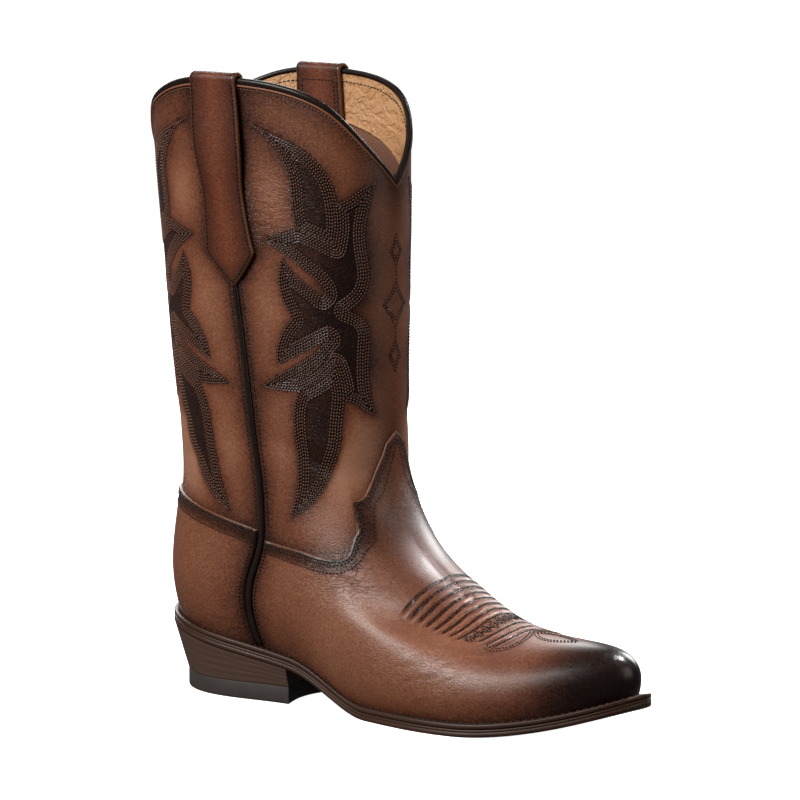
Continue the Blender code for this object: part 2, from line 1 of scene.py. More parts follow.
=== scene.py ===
"""Finish of a right-foot western boot: burnished leather, stitching, lining, sole and stage.

Lengths in the code are millimetres in the maker's own frame: +X to the toe, +Y to the inner side of
the foot, +Z up, with X counted from the back of the heel. The upper is one smooth surface counted in
two numbers: the station runs round the boot and the row runs from the sole to the collar. Meshes are
made in metres in the part's frame.
"""

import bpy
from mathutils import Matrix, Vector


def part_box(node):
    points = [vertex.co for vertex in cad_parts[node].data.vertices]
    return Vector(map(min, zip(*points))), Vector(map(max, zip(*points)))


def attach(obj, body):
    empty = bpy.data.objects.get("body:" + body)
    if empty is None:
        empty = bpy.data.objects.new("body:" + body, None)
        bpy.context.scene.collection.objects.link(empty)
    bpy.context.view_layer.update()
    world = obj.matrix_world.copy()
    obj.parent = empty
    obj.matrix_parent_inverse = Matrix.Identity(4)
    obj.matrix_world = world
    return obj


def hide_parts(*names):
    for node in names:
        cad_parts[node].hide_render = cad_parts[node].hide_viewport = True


bl_info = {
    "name": "Western Boot Finish",
    "version": (1, 0, 0),
    "blender": (4, 5, 0),
    "location": "View3D > Sidebar > Boot",
    "description": "Dresses a packed western boot in leather, thread, lining and sole",
    "category": "Object",
}

from collections import namedtuple

import bpy
import numpy as np
from bpy.props import FloatProperty, FloatVectorProperty, IntProperty, PointerProperty
from mathutils import Matrix, Vector
from mathutils.bvhtree import BVHTree

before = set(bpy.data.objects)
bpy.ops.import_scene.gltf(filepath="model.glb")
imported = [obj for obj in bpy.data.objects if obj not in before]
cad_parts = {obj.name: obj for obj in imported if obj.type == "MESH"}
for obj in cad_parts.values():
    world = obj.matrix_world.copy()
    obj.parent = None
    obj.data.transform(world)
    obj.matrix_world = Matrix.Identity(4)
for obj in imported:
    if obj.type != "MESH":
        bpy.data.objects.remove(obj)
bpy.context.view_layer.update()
MM = 0.001

# Driving dimensions of the last and sole
BOOT_LENGTH = 296.0
BALL_WIDTH = 90.0
INSTEP_HEIGHT = 130.0
BOOT_HEIGHT = 319.0
HEEL_HEIGHT = 34.0
BREAST_HEIGHT = 18.5
BREAST_X = 95.0
BREAST_HOLLOW = 10.0
TREAD_START = 154.0
TREAD_END = 212.0
TOE_SPRING = 17.5
OUTSOLE_THICKNESS = 4.0
WELT_THICKNESS = 2.4
INSOLE_THICKNESS = 3.0
HEEL_CAP_THICKNESS = 9.0
HEEL_BACK_RAKE = 9.0
HEEL_SIDE_RAKE = 2.6
UPPER_WALL = 1.8
OVERLAY_WALL = 1.3
BINDING_WALL = 0.9
BINDING_DEPTH = 4.0
BINDING_SHOWN = 1.9
BINDING_INSIDE = 1.15
BINDING_ROUND = 0.45
STRAP_WALL = 2.0
PIPING_WIDTH = 4.4
GAP = 0.3
HEEL_CLEARANCE = GAP * 0.4
WELT_INSET = 0.3
HEEL_LIFTS = 5

# Leather of shaft and foot: lifts from the upper's face, laps in rows, and rounding of the edges
FOOT_LIFT = -0.1
SHAFT_BACK = -1.0
OVERLAY_LAP = 0.35
FOOT_LAP = 0.1
OVERLAY_ROW_STEP = 15.0
OVERLAY_ROLL = 1.3
VAMP_FIRST_ROW = 6.0

# Facing and lining inside the shaft: depth below the collar, lifts of both faces, and waves
FACING_DEPTH = 24.0
FACING_FRONT_DROP = 14.0
FACING_LIFTS = (-1.55, -2.3)
FACING_EDGE_LIFT = -2.2
FACING_EDGE_RADIUS = 0.9
CLOTH_LIFTS = (-1.1, -1.5)
LINING_FOOT_ROW = 0.6
LINING_LAP = 5.0
LINING_WAVE = 0.28

# Piping of the side seams and bead under the collar's binding
PIPING_HALF = 1.55
PIPING_FOOT_EXTRA = 0.45
PIPING_HEIGHT = 1.75
PIPING_LIFT = 0.25
PIPING_FLOOR = 0.2
BEAD_DROP = 0.55
BEAD_LIFT = 0.25
BEAD_RADIUS = 0.6

# Pull straps: shape, places across their half width, and lines of their grid from the point on
STRAP_FOLD_RISE = 1.7
STRAP_INNER_DEPTH = 55.0
STRAP_TIP_HEIGHT = 214.0
STRAP_POINT = 18.0
STRAP_POINT_POWER = 1.15
STRAP_STAND = 1.6
STRAP_EVEN_HALF = 15.0
STRAP_EDGE_SHARE = 0.62
STRAP_ROLL = 1.4
STRAP_RAW_SHARE = 0.8
STRAP_RIM = (0.92, 0.96, 0.985, 1.0)
STRAP_SEWN_RIM = 0.9
STRAP_SEWN_POINT = 0.88
STRAP_SEWN_BOX = 0.72
STRAP_RISE_STEPS = 91
STRAP_TURN_STEPS = 19
STRAP_DROP_STEPS = 41
STRAP_POINT_LINE = 2
STRAP_SEWN_LEGS = (slice(2, 88), slice(114, None))
STRAP_BOX = slice(-37, -24)

# Sewn rows: lifts of the thread, distances from edges and seams, and where the rows begin and end
THREAD_LIFT = 0.05
OVERLAY_THREAD_LIFT = GAP + OVERLAY_WALL + THREAD_LIFT
SEAM_THREAD_LIFT = 0.55
FOOT_THREAD_LIFT = 0.45
EDGE_SEWN = (1.7, 3.2)
EDGE_SEWN_SLACK = 0.25
SEAM_SEWN = 4.0
SEAM_SEWN_PAST_TIP = 6.0
SHAFT_SEWN_FOOT = 5.6
FOOT_SEWN_ROWS = (0.45, 4.85)
FOOT_SEWN_SHARE = 1.3
COLLAR_SEWN_DROP = 2.1
FACING_SEWN_DROP = 1.2
FACING_SEWN_LIFT = -2.4
WELT_SEWN_SHARE = 0.52
WELT_SEWN_BACK = 1.7

# Stations round the boot: 0 back, 2 outer side seam, 6 front, 10 inner side seam
STATION_COUNT = 12
SEAM = 2
FRONT = 6
INNER_SEAM = 10
HEEL_SHARE = 0.34
FORE_SHARES = (0.27, 0.60, 0.87)
SWING = (0.0, 0.0, -0.8, -3.2, -1.0, 2.4, 4.0)

# Sections of the foot in percent of boot length, instep height and ball width
FootRow = namedtuple("FootRow", "back_x back_z front_x front_z seam_x follow swing heel seam waist ball toe")
FOOT_ROWS = (
    FootRow(1.1, 0.0, 96.3, 0.0, 26.2, 1.0, 1.00, 31.5, 33.5, 35.0, 47.0, 28.5),
    FootRow(0.3, 38.5, 97.0, 25.0, 25.0, 1.0, 1.00, 34.0, 37.0, 39.5, 49.5, 30.0),
    FootRow(-0.2, 48.0, 94.3, 31.5, 24.4, 1.0, 0.95, 35.0, 39.0, 42.0, 48.0, 28.5),
    FootRow(-0.2, 58.5, 87.6, 33.8, 24.9, 1.0, 0.90, 34.5, 39.5, 42.5, 43.5, 24.0),
    FootRow(0.1, 67.5, 76.5, 35.6, 26.1, 1.0, 0.75, 33.5, 39.5, 42.0, 40.0, 20.5),
    FootRow(0.5, 77.0, 65.8, 45.0, 27.2, 1.0, 0.50, 32.5, 39.5, 40.5, 37.5, 22.0),
    FootRow(0.8, 86.0, 54.3, 61.2, 27.3, 0.8, 0.25, 32.0, 39.5, 39.5, 35.5, 23.5),
    FootRow(0.8, 95.5, 48.0, 80.4, 26.9, 0.4, 0.00, 32.5, 40.0, 39.5, 34.5, 24.0),
    FootRow(0.4, 107.5, 46.8, 100.0, 26.1, 0.0, 0.00, 33.0, 41.2, 40.5, 35.0, 23.5),
)
ShaftRow = namedtuple("ShaftRow", "height back_x front_x seam_x side")
SHAFT_ROWS = (
    ShaftRow(52.5, -0.4, 46.8, 24.8, 42.7),
    ShaftRow(65.5, -1.8, 47.0, 22.9, 44.2),
    ShaftRow(80.5, -3.4, 47.1, 20.9, 46.2),
    ShaftRow(102.0, -5.9, 47.0, 18.9, 48.2),
)
OVAL_POWER = 2.35
TOP_ROW = len(FOOT_ROWS) + len(SHAFT_ROWS) - 1
THROAT_ROW = len(FOOT_ROWS) - 1
FIT_ROWS = 2.0

# Drop of the collar from the side seam to its dips in front and behind, as shares of the way
DIP_DEPTH = 51.0
CollarPoint = namedtuple("CollarPoint", "way front back")
COLLAR_LINE = (
    CollarPoint(0.0, 0.0, 0.0),
    CollarPoint(0.25, 0.02, 0.04),
    CollarPoint(0.5, 0.12, 0.19),
    CollarPoint(0.65, 0.28, 0.35),
    CollarPoint(0.8, 0.58, 0.62),
    CollarPoint(1.0, 1.0, 1.0),
)

# Top edge of the vamp in three smooth stretches that meet at its ear and its shoulder
EdgePoint = namedtuple("EdgePoint", "station row")
VAMP_SCALLOP = (
    EdgePoint(2.0, 5.05),
    EdgePoint(2.5, 5.15),
    EdgePoint(3.2, 5.39),
    EdgePoint(3.75, 5.64),
    EdgePoint(4.2, 5.95),
    EdgePoint(4.58, 6.38),
    EdgePoint(4.73, 6.68),
    EdgePoint(4.79, 7.04),
)
VAMP_SLOPE = (
    EdgePoint(4.79, 7.04),
    EdgePoint(5.2, 7.26),
    EdgePoint(5.5, 7.82),
    EdgePoint(5.7, 8.15),
)
VAMP_PEAK = (
    EdgePoint(5.7, 8.15),
    EdgePoint(6.0, 8.30),
)
# Lower border of the dark band along the vamp's top edge
VAMP_BAND = (
    EdgePoint(2.08, 4.62),
    EdgePoint(2.68, 4.75),
    EdgePoint(3.28, 5.05),
    EdgePoint(3.84, 5.45),
    EdgePoint(4.38, 5.85),
    EdgePoint(4.78, 6.18),
    EdgePoint(5.10, 6.55),
    EdgePoint(5.24, 6.90),
    EdgePoint(5.62, 7.35),
    EdgePoint(5.80, 7.78),
    EdgePoint(6.0, 8.2),
)
COUNTER_ROW = 5.33
COUNTER_BAND_ROW = 4.72
OVERLAY_FOOT_ROW = 0.14
PIPING_FOOT_ROW = 0.4
WELT_ROW = 0.3

# Width of the welt beyond the upper at the stations from the back to the front
LEDGE = (2.6, 2.4, 1.8, 1.4, 5.0, 5.6, 6.0)

# Half width of a pull strap down its outer leg, by height above the floor
StrapPoint = namedtuple("StrapPoint", "height half")
STRAP_OUTLINE = (
    StrapPoint(229.0, 16.2),
    StrapPoint(240.0, 14.4),
    StrapPoint(251.0, 13.4),
    StrapPoint(265.0, 13.0),
    StrapPoint(279.0, 14.6),
    StrapPoint(295.0, 15.2),
    StrapPoint(316.0, 14.6),
)

# Leaf motif of the shaft, corner to corner: distance from the side seam and height above the floor
LEAF_EDGES = (
    ((19, 298), (33, 292.5), (53, 282.5), (63, 268), (64.5, 258)),
    ((64.5, 258), (71, 260.5), (78, 265), (86.5, 269)),
    ((86.5, 269), (80, 254.5), (76.5, 240), (76.5, 228), (75.5, 219), (71.5, 211.5), (61.5, 204)),
    ((61.5, 204), (67, 201.5), (71.5, 195), (70.5, 186), (68, 172), (67.5, 164), (69.5, 151)),
    ((69.5, 151), (64, 154), (60.5, 157), (54, 159)),
    ((54, 159), (51, 145), (49, 135), (45, 125.5), (39.5, 115), (32, 105.5), (20, 98)),
    ((20, 98), (22.5, 105.5), (25, 116), (26.5, 139.5), (27, 150), (29, 158), (31.5, 163)),
    ((31.5, 163), (20, 163), (10, 164)),
    ((10, 164), (19.5, 169.5), (37.5, 179), (45, 184.5), (51, 190.5)),
    ((51, 190.5), (43.5, 187), (34.5, 182.5), (20.5, 176)),
    ((20.5, 176), (21.5, 183), (24.5, 189.5), (28, 194.5), (33, 199.5)),
    ((33, 199.5), (29, 210), (28.5, 220), (32, 229)),
    ((32, 229), (35, 224.5), (43.5, 216), (50, 210.5)),
    ((50, 210.5), (53, 213.5), (51, 218.5), (45.5, 223.5), (33, 233), (23, 239)),
    ((23, 239), (34, 242.5), (42, 245)),
    ((42, 245), (41.5, 258), (41.5, 272), (36, 284), (26, 294.5), (19, 298)),
)
# Lines inside the motif along which its leaves meet
LEAF_VEINS = (
    ((64.5, 258), (64, 247), (61, 236.5)),
    ((42, 245), (51, 241.5), (61, 236.5)),
    ((31.5, 163), (43, 169), (52.5, 177)),
    ((54, 159), (54, 168), (52.5, 177)),
)
BACK_LEAF_SHIFT = 3.5

# Burnish and painted shade that fade away from an edge: strength and the distance over which each fades
EdgeBurnishAndShade = namedtuple("EdgeBurnishAndShade", "strength fade")
LEAF_HALO = EdgeBurnishAndShade(0.46, 4.2)
COLLAR_BURNISH = EdgeBurnishAndShade(0.70, 14.0)
STRAP_SHADOW = EdgeBurnishAndShade(0.80, 7.0)
SEAM_BURNISH = EdgeBurnishAndShade(0.45, 7.0)
OVERLAY_SHADOW = EdgeBurnishAndShade(0.55, 5.5)
WELT_SHADE_AND_BURNISH = EdgeBurnishAndShade(0.55, 6.0)
SIDE_BURNISH = EdgeBurnishAndShade(0.80, 8.0)
TOP_BURNISH = EdgeBurnishAndShade(0.30, 3.0)
STRAP_RIM_BURNISH = EdgeBurnishAndShade(0.95, 6.5)
SEWN_BURNISH = 0.86
LEAF_BURNISH = 0.5
COUNTER_BAND_BURNISH = 0.52
RAW_EDGE_SHARE = 0.5
NO_MOTIF = -100.0
FOOT_BURNISH = 0.7
COUNTER_BURNISH = 0.14
STRAP_BURNISH = 0.06
VAMP_BAND_BURNISH = 0.54
VAMP_BAND_FRONT_DROP = 0.3
VAMP_GROOVE_SHADE = 0.7

# Polish and burnish of the toe: offset from its tip, proportions, and distances where they fade
TOE_POLISH_OFFSET = (2.0, 0.0, 6.0)
TOE_POLISH_SCALE = (1.0, 0.75, 1.1)
TOE_POLISH_FADE = (16.0, 58.0)
TOE_BURNISH = 0.26
TOE_BURNISH_FADE = (30.0, 105.0)

# Soft ridges along a side seam: height, and middle and half width as distances from the seam
Ridge = namedtuple("Ridge", "height middle half")
SHAFT_SEAM_RIDGE = Ridge(0.75, 3.0, 1.7)
SHAFT_SEAM_TROUGH = Ridge(-0.5, 0.0, 1.4)
OVERLAY_SEAM_RIDGE = Ridge(0.45, 2.2, 1.5)

# Airbrushed shade down the middle of the leaf motif: distance from the seam, height, size, strength
Shade = namedtuple("Shade", "reach height spread strength")
LEAF_SHADES = (
    Shade(36.0, 282.0, 12.0, 0.25),
    Shade(50.0, 262.0, 13.0, 0.35),
    Shade(66.0, 246.0, 12.0, 0.75),
    Shade(70.0, 232.0, 13.0, 0.70),
    Shade(62.0, 214.0, 13.0, 0.75),
    Shade(55.0, 198.0, 12.0, 0.75),
    Shade(66.0, 180.0, 12.0, 0.60),
    Shade(52.0, 170.0, 11.0, 0.80),
    Shade(42.0, 148.0, 12.0, 0.60),
    Shade(36.0, 128.0, 11.0, 0.45),
    Shade(27.0, 108.0, 9.0, 0.25),
)

# Lighter places of the shaft: worn leather and painted sheen
SHAFT_WEAR_AND_SHEEN = (
    Shade(52.0, 122.0, 18.0, 0.55),
    Shade(68.0, 138.0, 15.0, 0.30),
    Shade(14.0, 130.0, 12.0, 0.16),
    Shade(28.0, 262.0, 12.0, 0.18),
    Shade(16.0, 205.0, 13.0, 0.12),
)

# Diamonds down the front of the shaft: heights of top, widest place and foot, and half width
Diamond = namedtuple("Diamond", "top middle foot half")
DIAMONDS = (
    Diamond(242.5, 233.3, 225.7, 4.7),
    Diamond(218.3, 206.5, 194.5, 9.0),
    Diamond(188.8, 180.5, 171.5, 4.8),
)
DIAMOND_INSETS = (0.0, 1.5)
DIAMOND_STEEPNESS = 2.2
DIAMOND_HOLLOW = 0.35
DIAMOND_LINK_OFFSET = 0.3

# Sewn rows, filigree and medallion of the vamp, in the part's frame
VAMP_ROW_START = 34.4
VAMP_ROW_STEP = 4.43
VAMP_ROW_COUNT = 8
VAMP_ROW_BOW = 6.4
VAMP_ROW_HALF = 29.5
VAMP_ROW_TAPER = 0.36
VAMP_MIDDLE = 1.0
VAMP_RIDGE_HEIGHT = 0.45
VAMP_GROOVE_DEPTH = 1.05
VAMP_GROOVE_POWER = 1.7
VAMP_ROW_FLOOR = 40.0
VAMP_LATE_ROWS = (74.6, 79.4, 83.6)
VAMP_LATE_FLOOR = 36.0
VAMP_LATE_HALF = (21.0, 25.0)
LATE_ROW_SHARE = 0.8
FILIGREE_ROW = 70.0
FILIGREE_HALF = 3.4
FILIGREE_STEP = 5.4
FILIGREE_SHARES = (1.0, 0.55, 0.2)
FILIGREE_LENGTH = 0.9
MEDALLION_APART = 0.9
MEDALLION_LOBE = ((75.6, 25.4), (79.7, 25.5), (85.9, 22.1), (89.4, 13.4), (88.4, 5.3), (86.0, 0.0))
MEDALLION_LEAF = ((88.5, 0.0), (93.1, 4.2), (98.5, 5.6), (104.5, 4.6), (110.0, 2.2), (114.2, 0.0))

# Darker places of the vamp, in the part's frame: deeper brown of the leather and painted shade
Tint = namedtuple("Tint", "x y z spread strength")
VAMP_TINTS_AND_SHADES = (
    Tint(4.0, -12.0, 94.0, 22.0, 0.5),
    Tint(40.0, -30.0, 56.0, 16.0, 0.22),
    Tint(34.0, -6.0, 74.0, 28.0, 0.34),
    Tint(84.0, -22.0, 40.0, 16.0, 0.22),
    Tint(-40.0, -36.0, 40.0, 18.0, 0.20),
)

# Wrinkles in the leather, in the part's frame: middle, half length, half width, tilt and depth
Crease = namedtuple("Crease", "x z half_length half_width tilt depth")
VAMP_CREASES = (
    Crease(52.0, 26.0, 16.0, 1.3, 0.42, 0.12),
    Crease(60.0, 33.0, 14.0, 1.1, 0.50, 0.10),
    Crease(42.0, 31.0, 15.0, 1.4, 0.36, 0.12),
    Crease(70.0, 27.0, 12.0, 1.0, 0.58, 0.10),
    Crease(6.0, 62.0, 20.0, 3.0, -0.20, 0.22),
)
# Places of hairline wrinkles, in the part's frame: middle, half length, half height and strength
Crinkle = namedtuple("Crinkle", "x y z half_length half_height strength")
CRINKLES = (
    Crinkle(-55.0, -40.0, 256.0, 20.0, 17.0, 1.0),
    Crinkle(-2.0, -36.0, 70.0, 26.0, 14.0, 1.0),
    Crinkle(48.0, -42.0, 30.0, 34.0, 14.0, 0.6),
    Crinkle(2.0, 4.0, 112.0, 20.0, 20.0, 0.6),
    Crinkle(-120.0, -30.0, 110.0, 22.0, 18.0, 0.5),
)
SHAFT_CREASES = (
    Crease(-58.0, 268.0, 9.0, 1.1, 0.25, 0.35),
    Crease(-55.0, 262.0, 11.0, 1.0, 0.15, 0.35),
    Crease(-57.0, 256.0, 10.0, 1.2, 0.05, 0.40),
    Crease(-52.0, 250.5, 12.0, 1.0, -0.05, 0.35),
    Crease(-54.0, 245.0, 9.0, 1.1, 0.10, 0.30),
    Crease(-30.0, 128.0, 26.0, 5.0, -0.20, 0.70),
    Crease(-12.0, 150.0, 18.0, 5.0, -0.35, 0.60),
    Crease(-105.0, 122.0, 20.0, 4.5, 0.15, 0.60),
    Crease(-120.0, 142.0, 16.0, 4.0, 0.30, 0.50),
)

# Camera of the photograph, in the part's frame
CAMERA_TARGET = (-11.48, 16.73, 154.94)
TOE_PLACE = (128.0, 0.0, 36.0)
SENSOR_WIDTH = 36.0
FLOOR_REACH = 14.0

# Mesh density
FORM_ROW_STEPS = 480
FORM_STATION_STEPS = 720
SHAFT_COLUMNS = 400
SHAFT_SHOWN = 217
SHAFT_THIN = 8
FOOT_SLICES = 61
VAMP_COLUMNS = 401
VAMP_SLICES = 211
COUNTER_COLUMNS = 201
COUNTER_SLICES = 91
OVERLAY_THIN = 10
EDGE_STEPS = (4.8, 3.8, 3.0, 2.3, 1.7, 1.2, 0.8, 0.5, 0.28, 0.12, 0.0)
LINING_COLUMNS = 240
LINING_SLICES = 81
CLOTH_SLICES = 41
SOLE_COLUMNS = 288
HEEL_COLUMNS = 160
INSOLE_COLUMNS = 160
STRAP_COLUMNS = 33
SEAM_STEPS = 260
COLLAR_COLUMNS = 480
LINE_STEP = 0.4
SHORTEST_ROW = 6.0
SIDEWAYS_STEPS = 4
EDGE_ROUNDS = 24
NUDGE = 0.02
PIPING_SECTIONS = 11
BEAD_SIDES = 8
SHORTEST_RUN = 4
BATCH = 4000
HALVINGS = 26


def natural_bends(knots, values):
    """Second derivatives of the cubic spline through values, with free ends."""
    steps = np.diff(knots)
    matrix = np.eye(len(knots))
    right = np.zeros_like(values)
    for i in range(1, len(knots) - 1):
        matrix[i, i - 1 : i + 2] = steps[i - 1], 2 * (steps[i - 1] + steps[i]), steps[i]
        right[i] = 6 * ((values[i + 1] - values[i]) / steps[i] - (values[i] - values[i - 1]) / steps[i - 1])
    return np.linalg.solve(matrix, right)


def cubic_piece(low, high, low_bend, high_bend, step, share):
    """A point at a share of the way along one span of a cubic spline."""
    near, far = 1 - share, share
    bend = (near**3 - near) * low_bend + (far**3 - far) * high_bend
    return near * low + far * high + step**2 / 6 * bend


def smooth_table(knots, values, at):
    """A smooth curve through a short table, held level beyond its ends."""
    knots = np.asarray(knots, float)
    values = np.asarray(values, float)
    at = np.clip(at, knots[0], knots[-1])
    bends = natural_bends(knots, values)
    i = np.clip(np.searchsorted(knots, at, side="right") - 1, 0, len(knots) - 2)
    step = knots[i + 1] - knots[i]
    return cubic_piece(values[i], values[i + 1], bends[i], bends[i + 1], step, (at - knots[i]) / step)


def smooth_step(low, high, value):
    """A soft step from 0 at low to 1 at high."""
    share = np.clip((value - low) / (high - low), 0, 1)
    return share * share * (3 - 2 * share)


def unit(vectors):
    """Vectors brought to a length of one."""
    return vectors / np.linalg.norm(vectors, axis=-1, keepdims=True)


def sole_bottom(x):
    """Height of the outsole's underside: heel seat, shank, flat tread and toe spring."""
    x = np.asarray(x, float)
    seat_slope = (BREAST_HEIGHT - HEEL_HEIGHT) / BREAST_X
    seat = HEEL_HEIGHT + seat_slope * x
    reach = TREAD_START - BREAST_X
    share = np.clip((x - BREAST_X) / reach, 0, 1)
    shank = (1 - share) ** 2 * ((1 + 2 * share) * BREAST_HEIGHT + share * seat_slope * reach)
    spring = TOE_SPRING * (np.clip(x - TREAD_END, 0, None) / (BOOT_LENGTH - TREAD_END)) ** 2
    return np.where(x < BREAST_X, seat, shank + spring)


def sole_top(x):
    """Height of the underside of what stands on the outsole."""
    return sole_bottom(x) + OUTSOLE_THICKNESS + GAP


def station_places(row):
    """Positions along the boot of a section's stations from the back to the front."""
    fore = [row.seam_x + share * (row.front_x - row.seam_x) for share in FORE_SHARES]
    heel = row.back_x + HEEL_SHARE * (row.seam_x - row.back_x)
    return np.array([row.back_x, heel, row.seam_x, *fore, row.front_x]) * BOOT_LENGTH / 100


def loop_of(x, z, half, centre):
    """The twelve points of a section, from its outer half and the inner half that mirrors it."""
    outer = np.column_stack([x, centre - half, z])
    inner = np.column_stack([x, centre + half, z])
    return np.vstack([outer, inner[-2:0:-1]])


def foot_loop(row):
    """The section of the foot that a table row describes; the lowest row lies on the sole."""
    x = station_places(row)
    share = (x - x[0]) / (x[-1] - x[0])
    sole = sole_top(x)
    sole_chord = sole[0] + share * (sole[-1] - sole[0])
    back_z = max(row.back_z * INSTEP_HEIGHT / 100, sole[0])
    front_z = max(row.front_z * INSTEP_HEIGHT / 100, sole[-1])
    z = back_z + share * (front_z - back_z) + row.follow * (sole - sole_chord)
    half = np.array([0, row.heel, row.seam, row.waist, row.ball, row.toe, 0]) * BALL_WIDTH / 100
    return loop_of(x, z, half, row.swing * np.array(SWING))


def shaft_loop(row):
    """A level oval of the shaft."""
    x = station_places(row)
    across = np.abs(2 * (x - x[0]) / (x[-1] - x[0]) - 1)
    half = row.side * BALL_WIDTH / 100 * (1 - across**OVAL_POWER) ** (1 / OVAL_POWER)
    return loop_of(x, np.full(len(x), row.height * BOOT_HEIGHT / 100), half, 0)


NET = np.array([foot_loop(row) for row in FOOT_ROWS] + [shaft_loop(row) for row in SHAFT_ROWS])
ROW_STEPS = np.linalg.norm(np.diff(NET, axis=0), axis=2).mean(axis=1)
ROW_KNOTS = np.concatenate([[0], np.cumsum(ROW_STEPS)])
ROW_BENDS = natural_bends(ROW_KNOTS, NET.reshape(TOP_ROW + 1, -1)).reshape(NET.shape)


def outer_face(rows, stations):
    """Grid of points of the upper's outer face, whose lowest row lies on the sole."""
    i = np.clip(rows.astype(int), 0, TOP_ROW - 1)
    share = (rows - i)[:, None, None]
    step = ROW_STEPS[i][:, None, None]
    loops = cubic_piece(NET[i], NET[i + 1], ROW_BENDS[i], ROW_BENDS[i + 1], step, share)
    ahead = np.roll(loops, -1, axis=1)
    chord = np.linalg.norm(ahead - loops, axis=2)
    behind = np.roll(chord, 1, axis=1)
    slope = (ahead - loops) / chord[:, :, None]
    matrix = np.zeros((len(rows), STATION_COUNT, STATION_COUNT))
    for k in range(STATION_COUNT):
        matrix[:, k, k - 1] = behind[:, k]
        matrix[:, k, k] = 2 * (behind[:, k] + chord[:, k])
        matrix[:, k, (k + 1) % STATION_COUNT] = chord[:, k]
    bends = np.linalg.solve(matrix, 6 * (slope - np.roll(slope, 1, axis=1)))
    k = np.floor(stations).astype(int)
    share = (stations - k)[None, :, None]
    k, after = k % STATION_COUNT, (k + 1) % STATION_COUNT
    length = chord[:, k][:, :, None]
    points = cubic_piece(loops[:, k], loops[:, after], bends[:, k], bends[:, after], length, share)
    lift = sole_top(points[0, :, 0]) - points[0, :, 2]
    points[..., 2] += lift * np.clip(1 - rows / FIT_ROWS, 0, 1)[:, None] ** 2
    return points


def outward_of(points):
    """Outward directions of a grid that closes on itself along its rows."""
    wide = np.concatenate([points[:, -2:-1], points, points[:, 1:2]], axis=1)
    along = np.gradient(wide, axis=1)[:, 1:-1]
    up = np.gradient(points, axis=0)
    return unit(np.cross(along, up))


FORM_ROWS = np.linspace(0, TOP_ROW, FORM_ROW_STEPS + 1)
FORM_STATIONS = np.linspace(SEAM - FRONT, SEAM + FRONT, FORM_STATION_STEPS + 1)
FORM = outer_face(FORM_ROWS, FORM_STATIONS)
FORM_OUTWARD = outward_of(FORM)
FORM_ARC = np.concatenate(
    [np.zeros((len(FORM_ROWS), 1)), np.cumsum(np.linalg.norm(np.diff(FORM, axis=1), axis=2), axis=1)], axis=1
)
FORM_REACH = FORM_ARC - FORM_ARC[:, [FORM_STATION_STEPS // 2]]


def lookup(table, station, row):
    """Values between the points of a table over the upper's face."""
    station, row = np.broadcast_arrays(np.asarray(station, float), np.asarray(row, float))
    x = (station - FORM_STATIONS[0]) % STATION_COUNT * FORM_STATION_STEPS / STATION_COUNT
    y = np.clip(row, 0, TOP_ROW) * FORM_ROW_STEPS / TOP_ROW
    j = np.minimum(x.astype(int), FORM_STATION_STEPS - 1)
    i = np.minimum(y.astype(int), FORM_ROW_STEPS - 1)
    x, y = x - j, y - i
    if table.ndim == 3:
        x, y = x[..., None], y[..., None]
    low = table[i, j] * (1 - x) + table[i, j + 1] * x
    high = table[i + 1, j] * (1 - x) + table[i + 1, j + 1] * x
    return low * (1 - y) + high * y


def face(station, row, lift=0.0):
    """Points a lift outside the upper's outer face, or inside it where that is negative."""
    lift = np.asarray(lift, float)[..., None]
    return lookup(FORM, station, row) + lookup(FORM_OUTWARD, station, row) * lift


def outward(station, row):
    """Outward directions of the upper's outer face."""
    return unit(lookup(FORM_OUTWARD, station, row))


def reach_of(station, row):
    """Distance along the leather from the outer side seam, growing past the front and round."""
    turns = np.floor((np.asarray(station, float) - FORM_STATIONS[0]) / STATION_COUNT)
    round_length = np.interp(row, FORM_ROWS, FORM_ARC[:, -1])
    return lookup(FORM_REACH, station, row) + turns * round_length


def even_stations(count, row, start, end):
    """Stations at even distances along one row."""
    fine = np.linspace(start, end, 4 * FORM_STATION_STEPS + 1)
    length = reach_of(fine, row)
    return np.interp(np.linspace(length[0], length[-1], count), length, fine)


def folded(station):
    """A station counted from the back on either side, from 0 to 6."""
    return np.abs((np.asarray(station, float) + FRONT) % STATION_COUNT - FRONT)


def beside_seam(row, distance, inner=False):
    """Stations a distance forward of a side seam, row by row; negative distances lie behind it."""
    seam = INNER_SEAM - STATION_COUNT if inner else SEAM
    ahead = -distance if inner else distance
    table = []
    for line in FORM_REACH:
        start = np.interp(seam, FORM_STATIONS, line)
        table.append(np.interp(start + ahead, line, FORM_STATIONS))
    return np.interp(row, FORM_ROWS, table)


def halve(low, high, too_low):
    """Find by halving where a test over arrays changes."""
    for _ in range(HALVINGS):
        middle = (low + high) / 2
        under = too_low(middle)
        low = np.where(under, middle, low)
        high = np.where(under, high, middle)
    return low


def row_at_height(station, height):
    """The row at which the shaft reaches a height."""
    station, height = np.broadcast_arrays(np.asarray(station, float), np.asarray(height, float))
    low = np.full(station.shape, THROAT_ROW - 3.0)
    high = np.full(station.shape, float(TOP_ROW))
    return halve(low, high, lambda row: lookup(FORM, station, row)[..., 2] < height)


def shaft_place(reach, height):
    """Stations and rows on the outer side at distances from the side seam and heights."""
    reach = np.asarray(reach, float)
    height = np.asarray(height, float)
    station = np.full(reach.shape, float(SEAM))
    for _ in range(3):
        row = row_at_height(station, height)
        low = np.full(reach.shape, FORM_STATIONS[0])
        high = np.full(reach.shape, FORM_STATIONS[-1] - 0.001)
        station = halve(low, high, lambda at: lookup(FORM_REACH, at, row) < reach)
    return station, row_at_height(station, height)


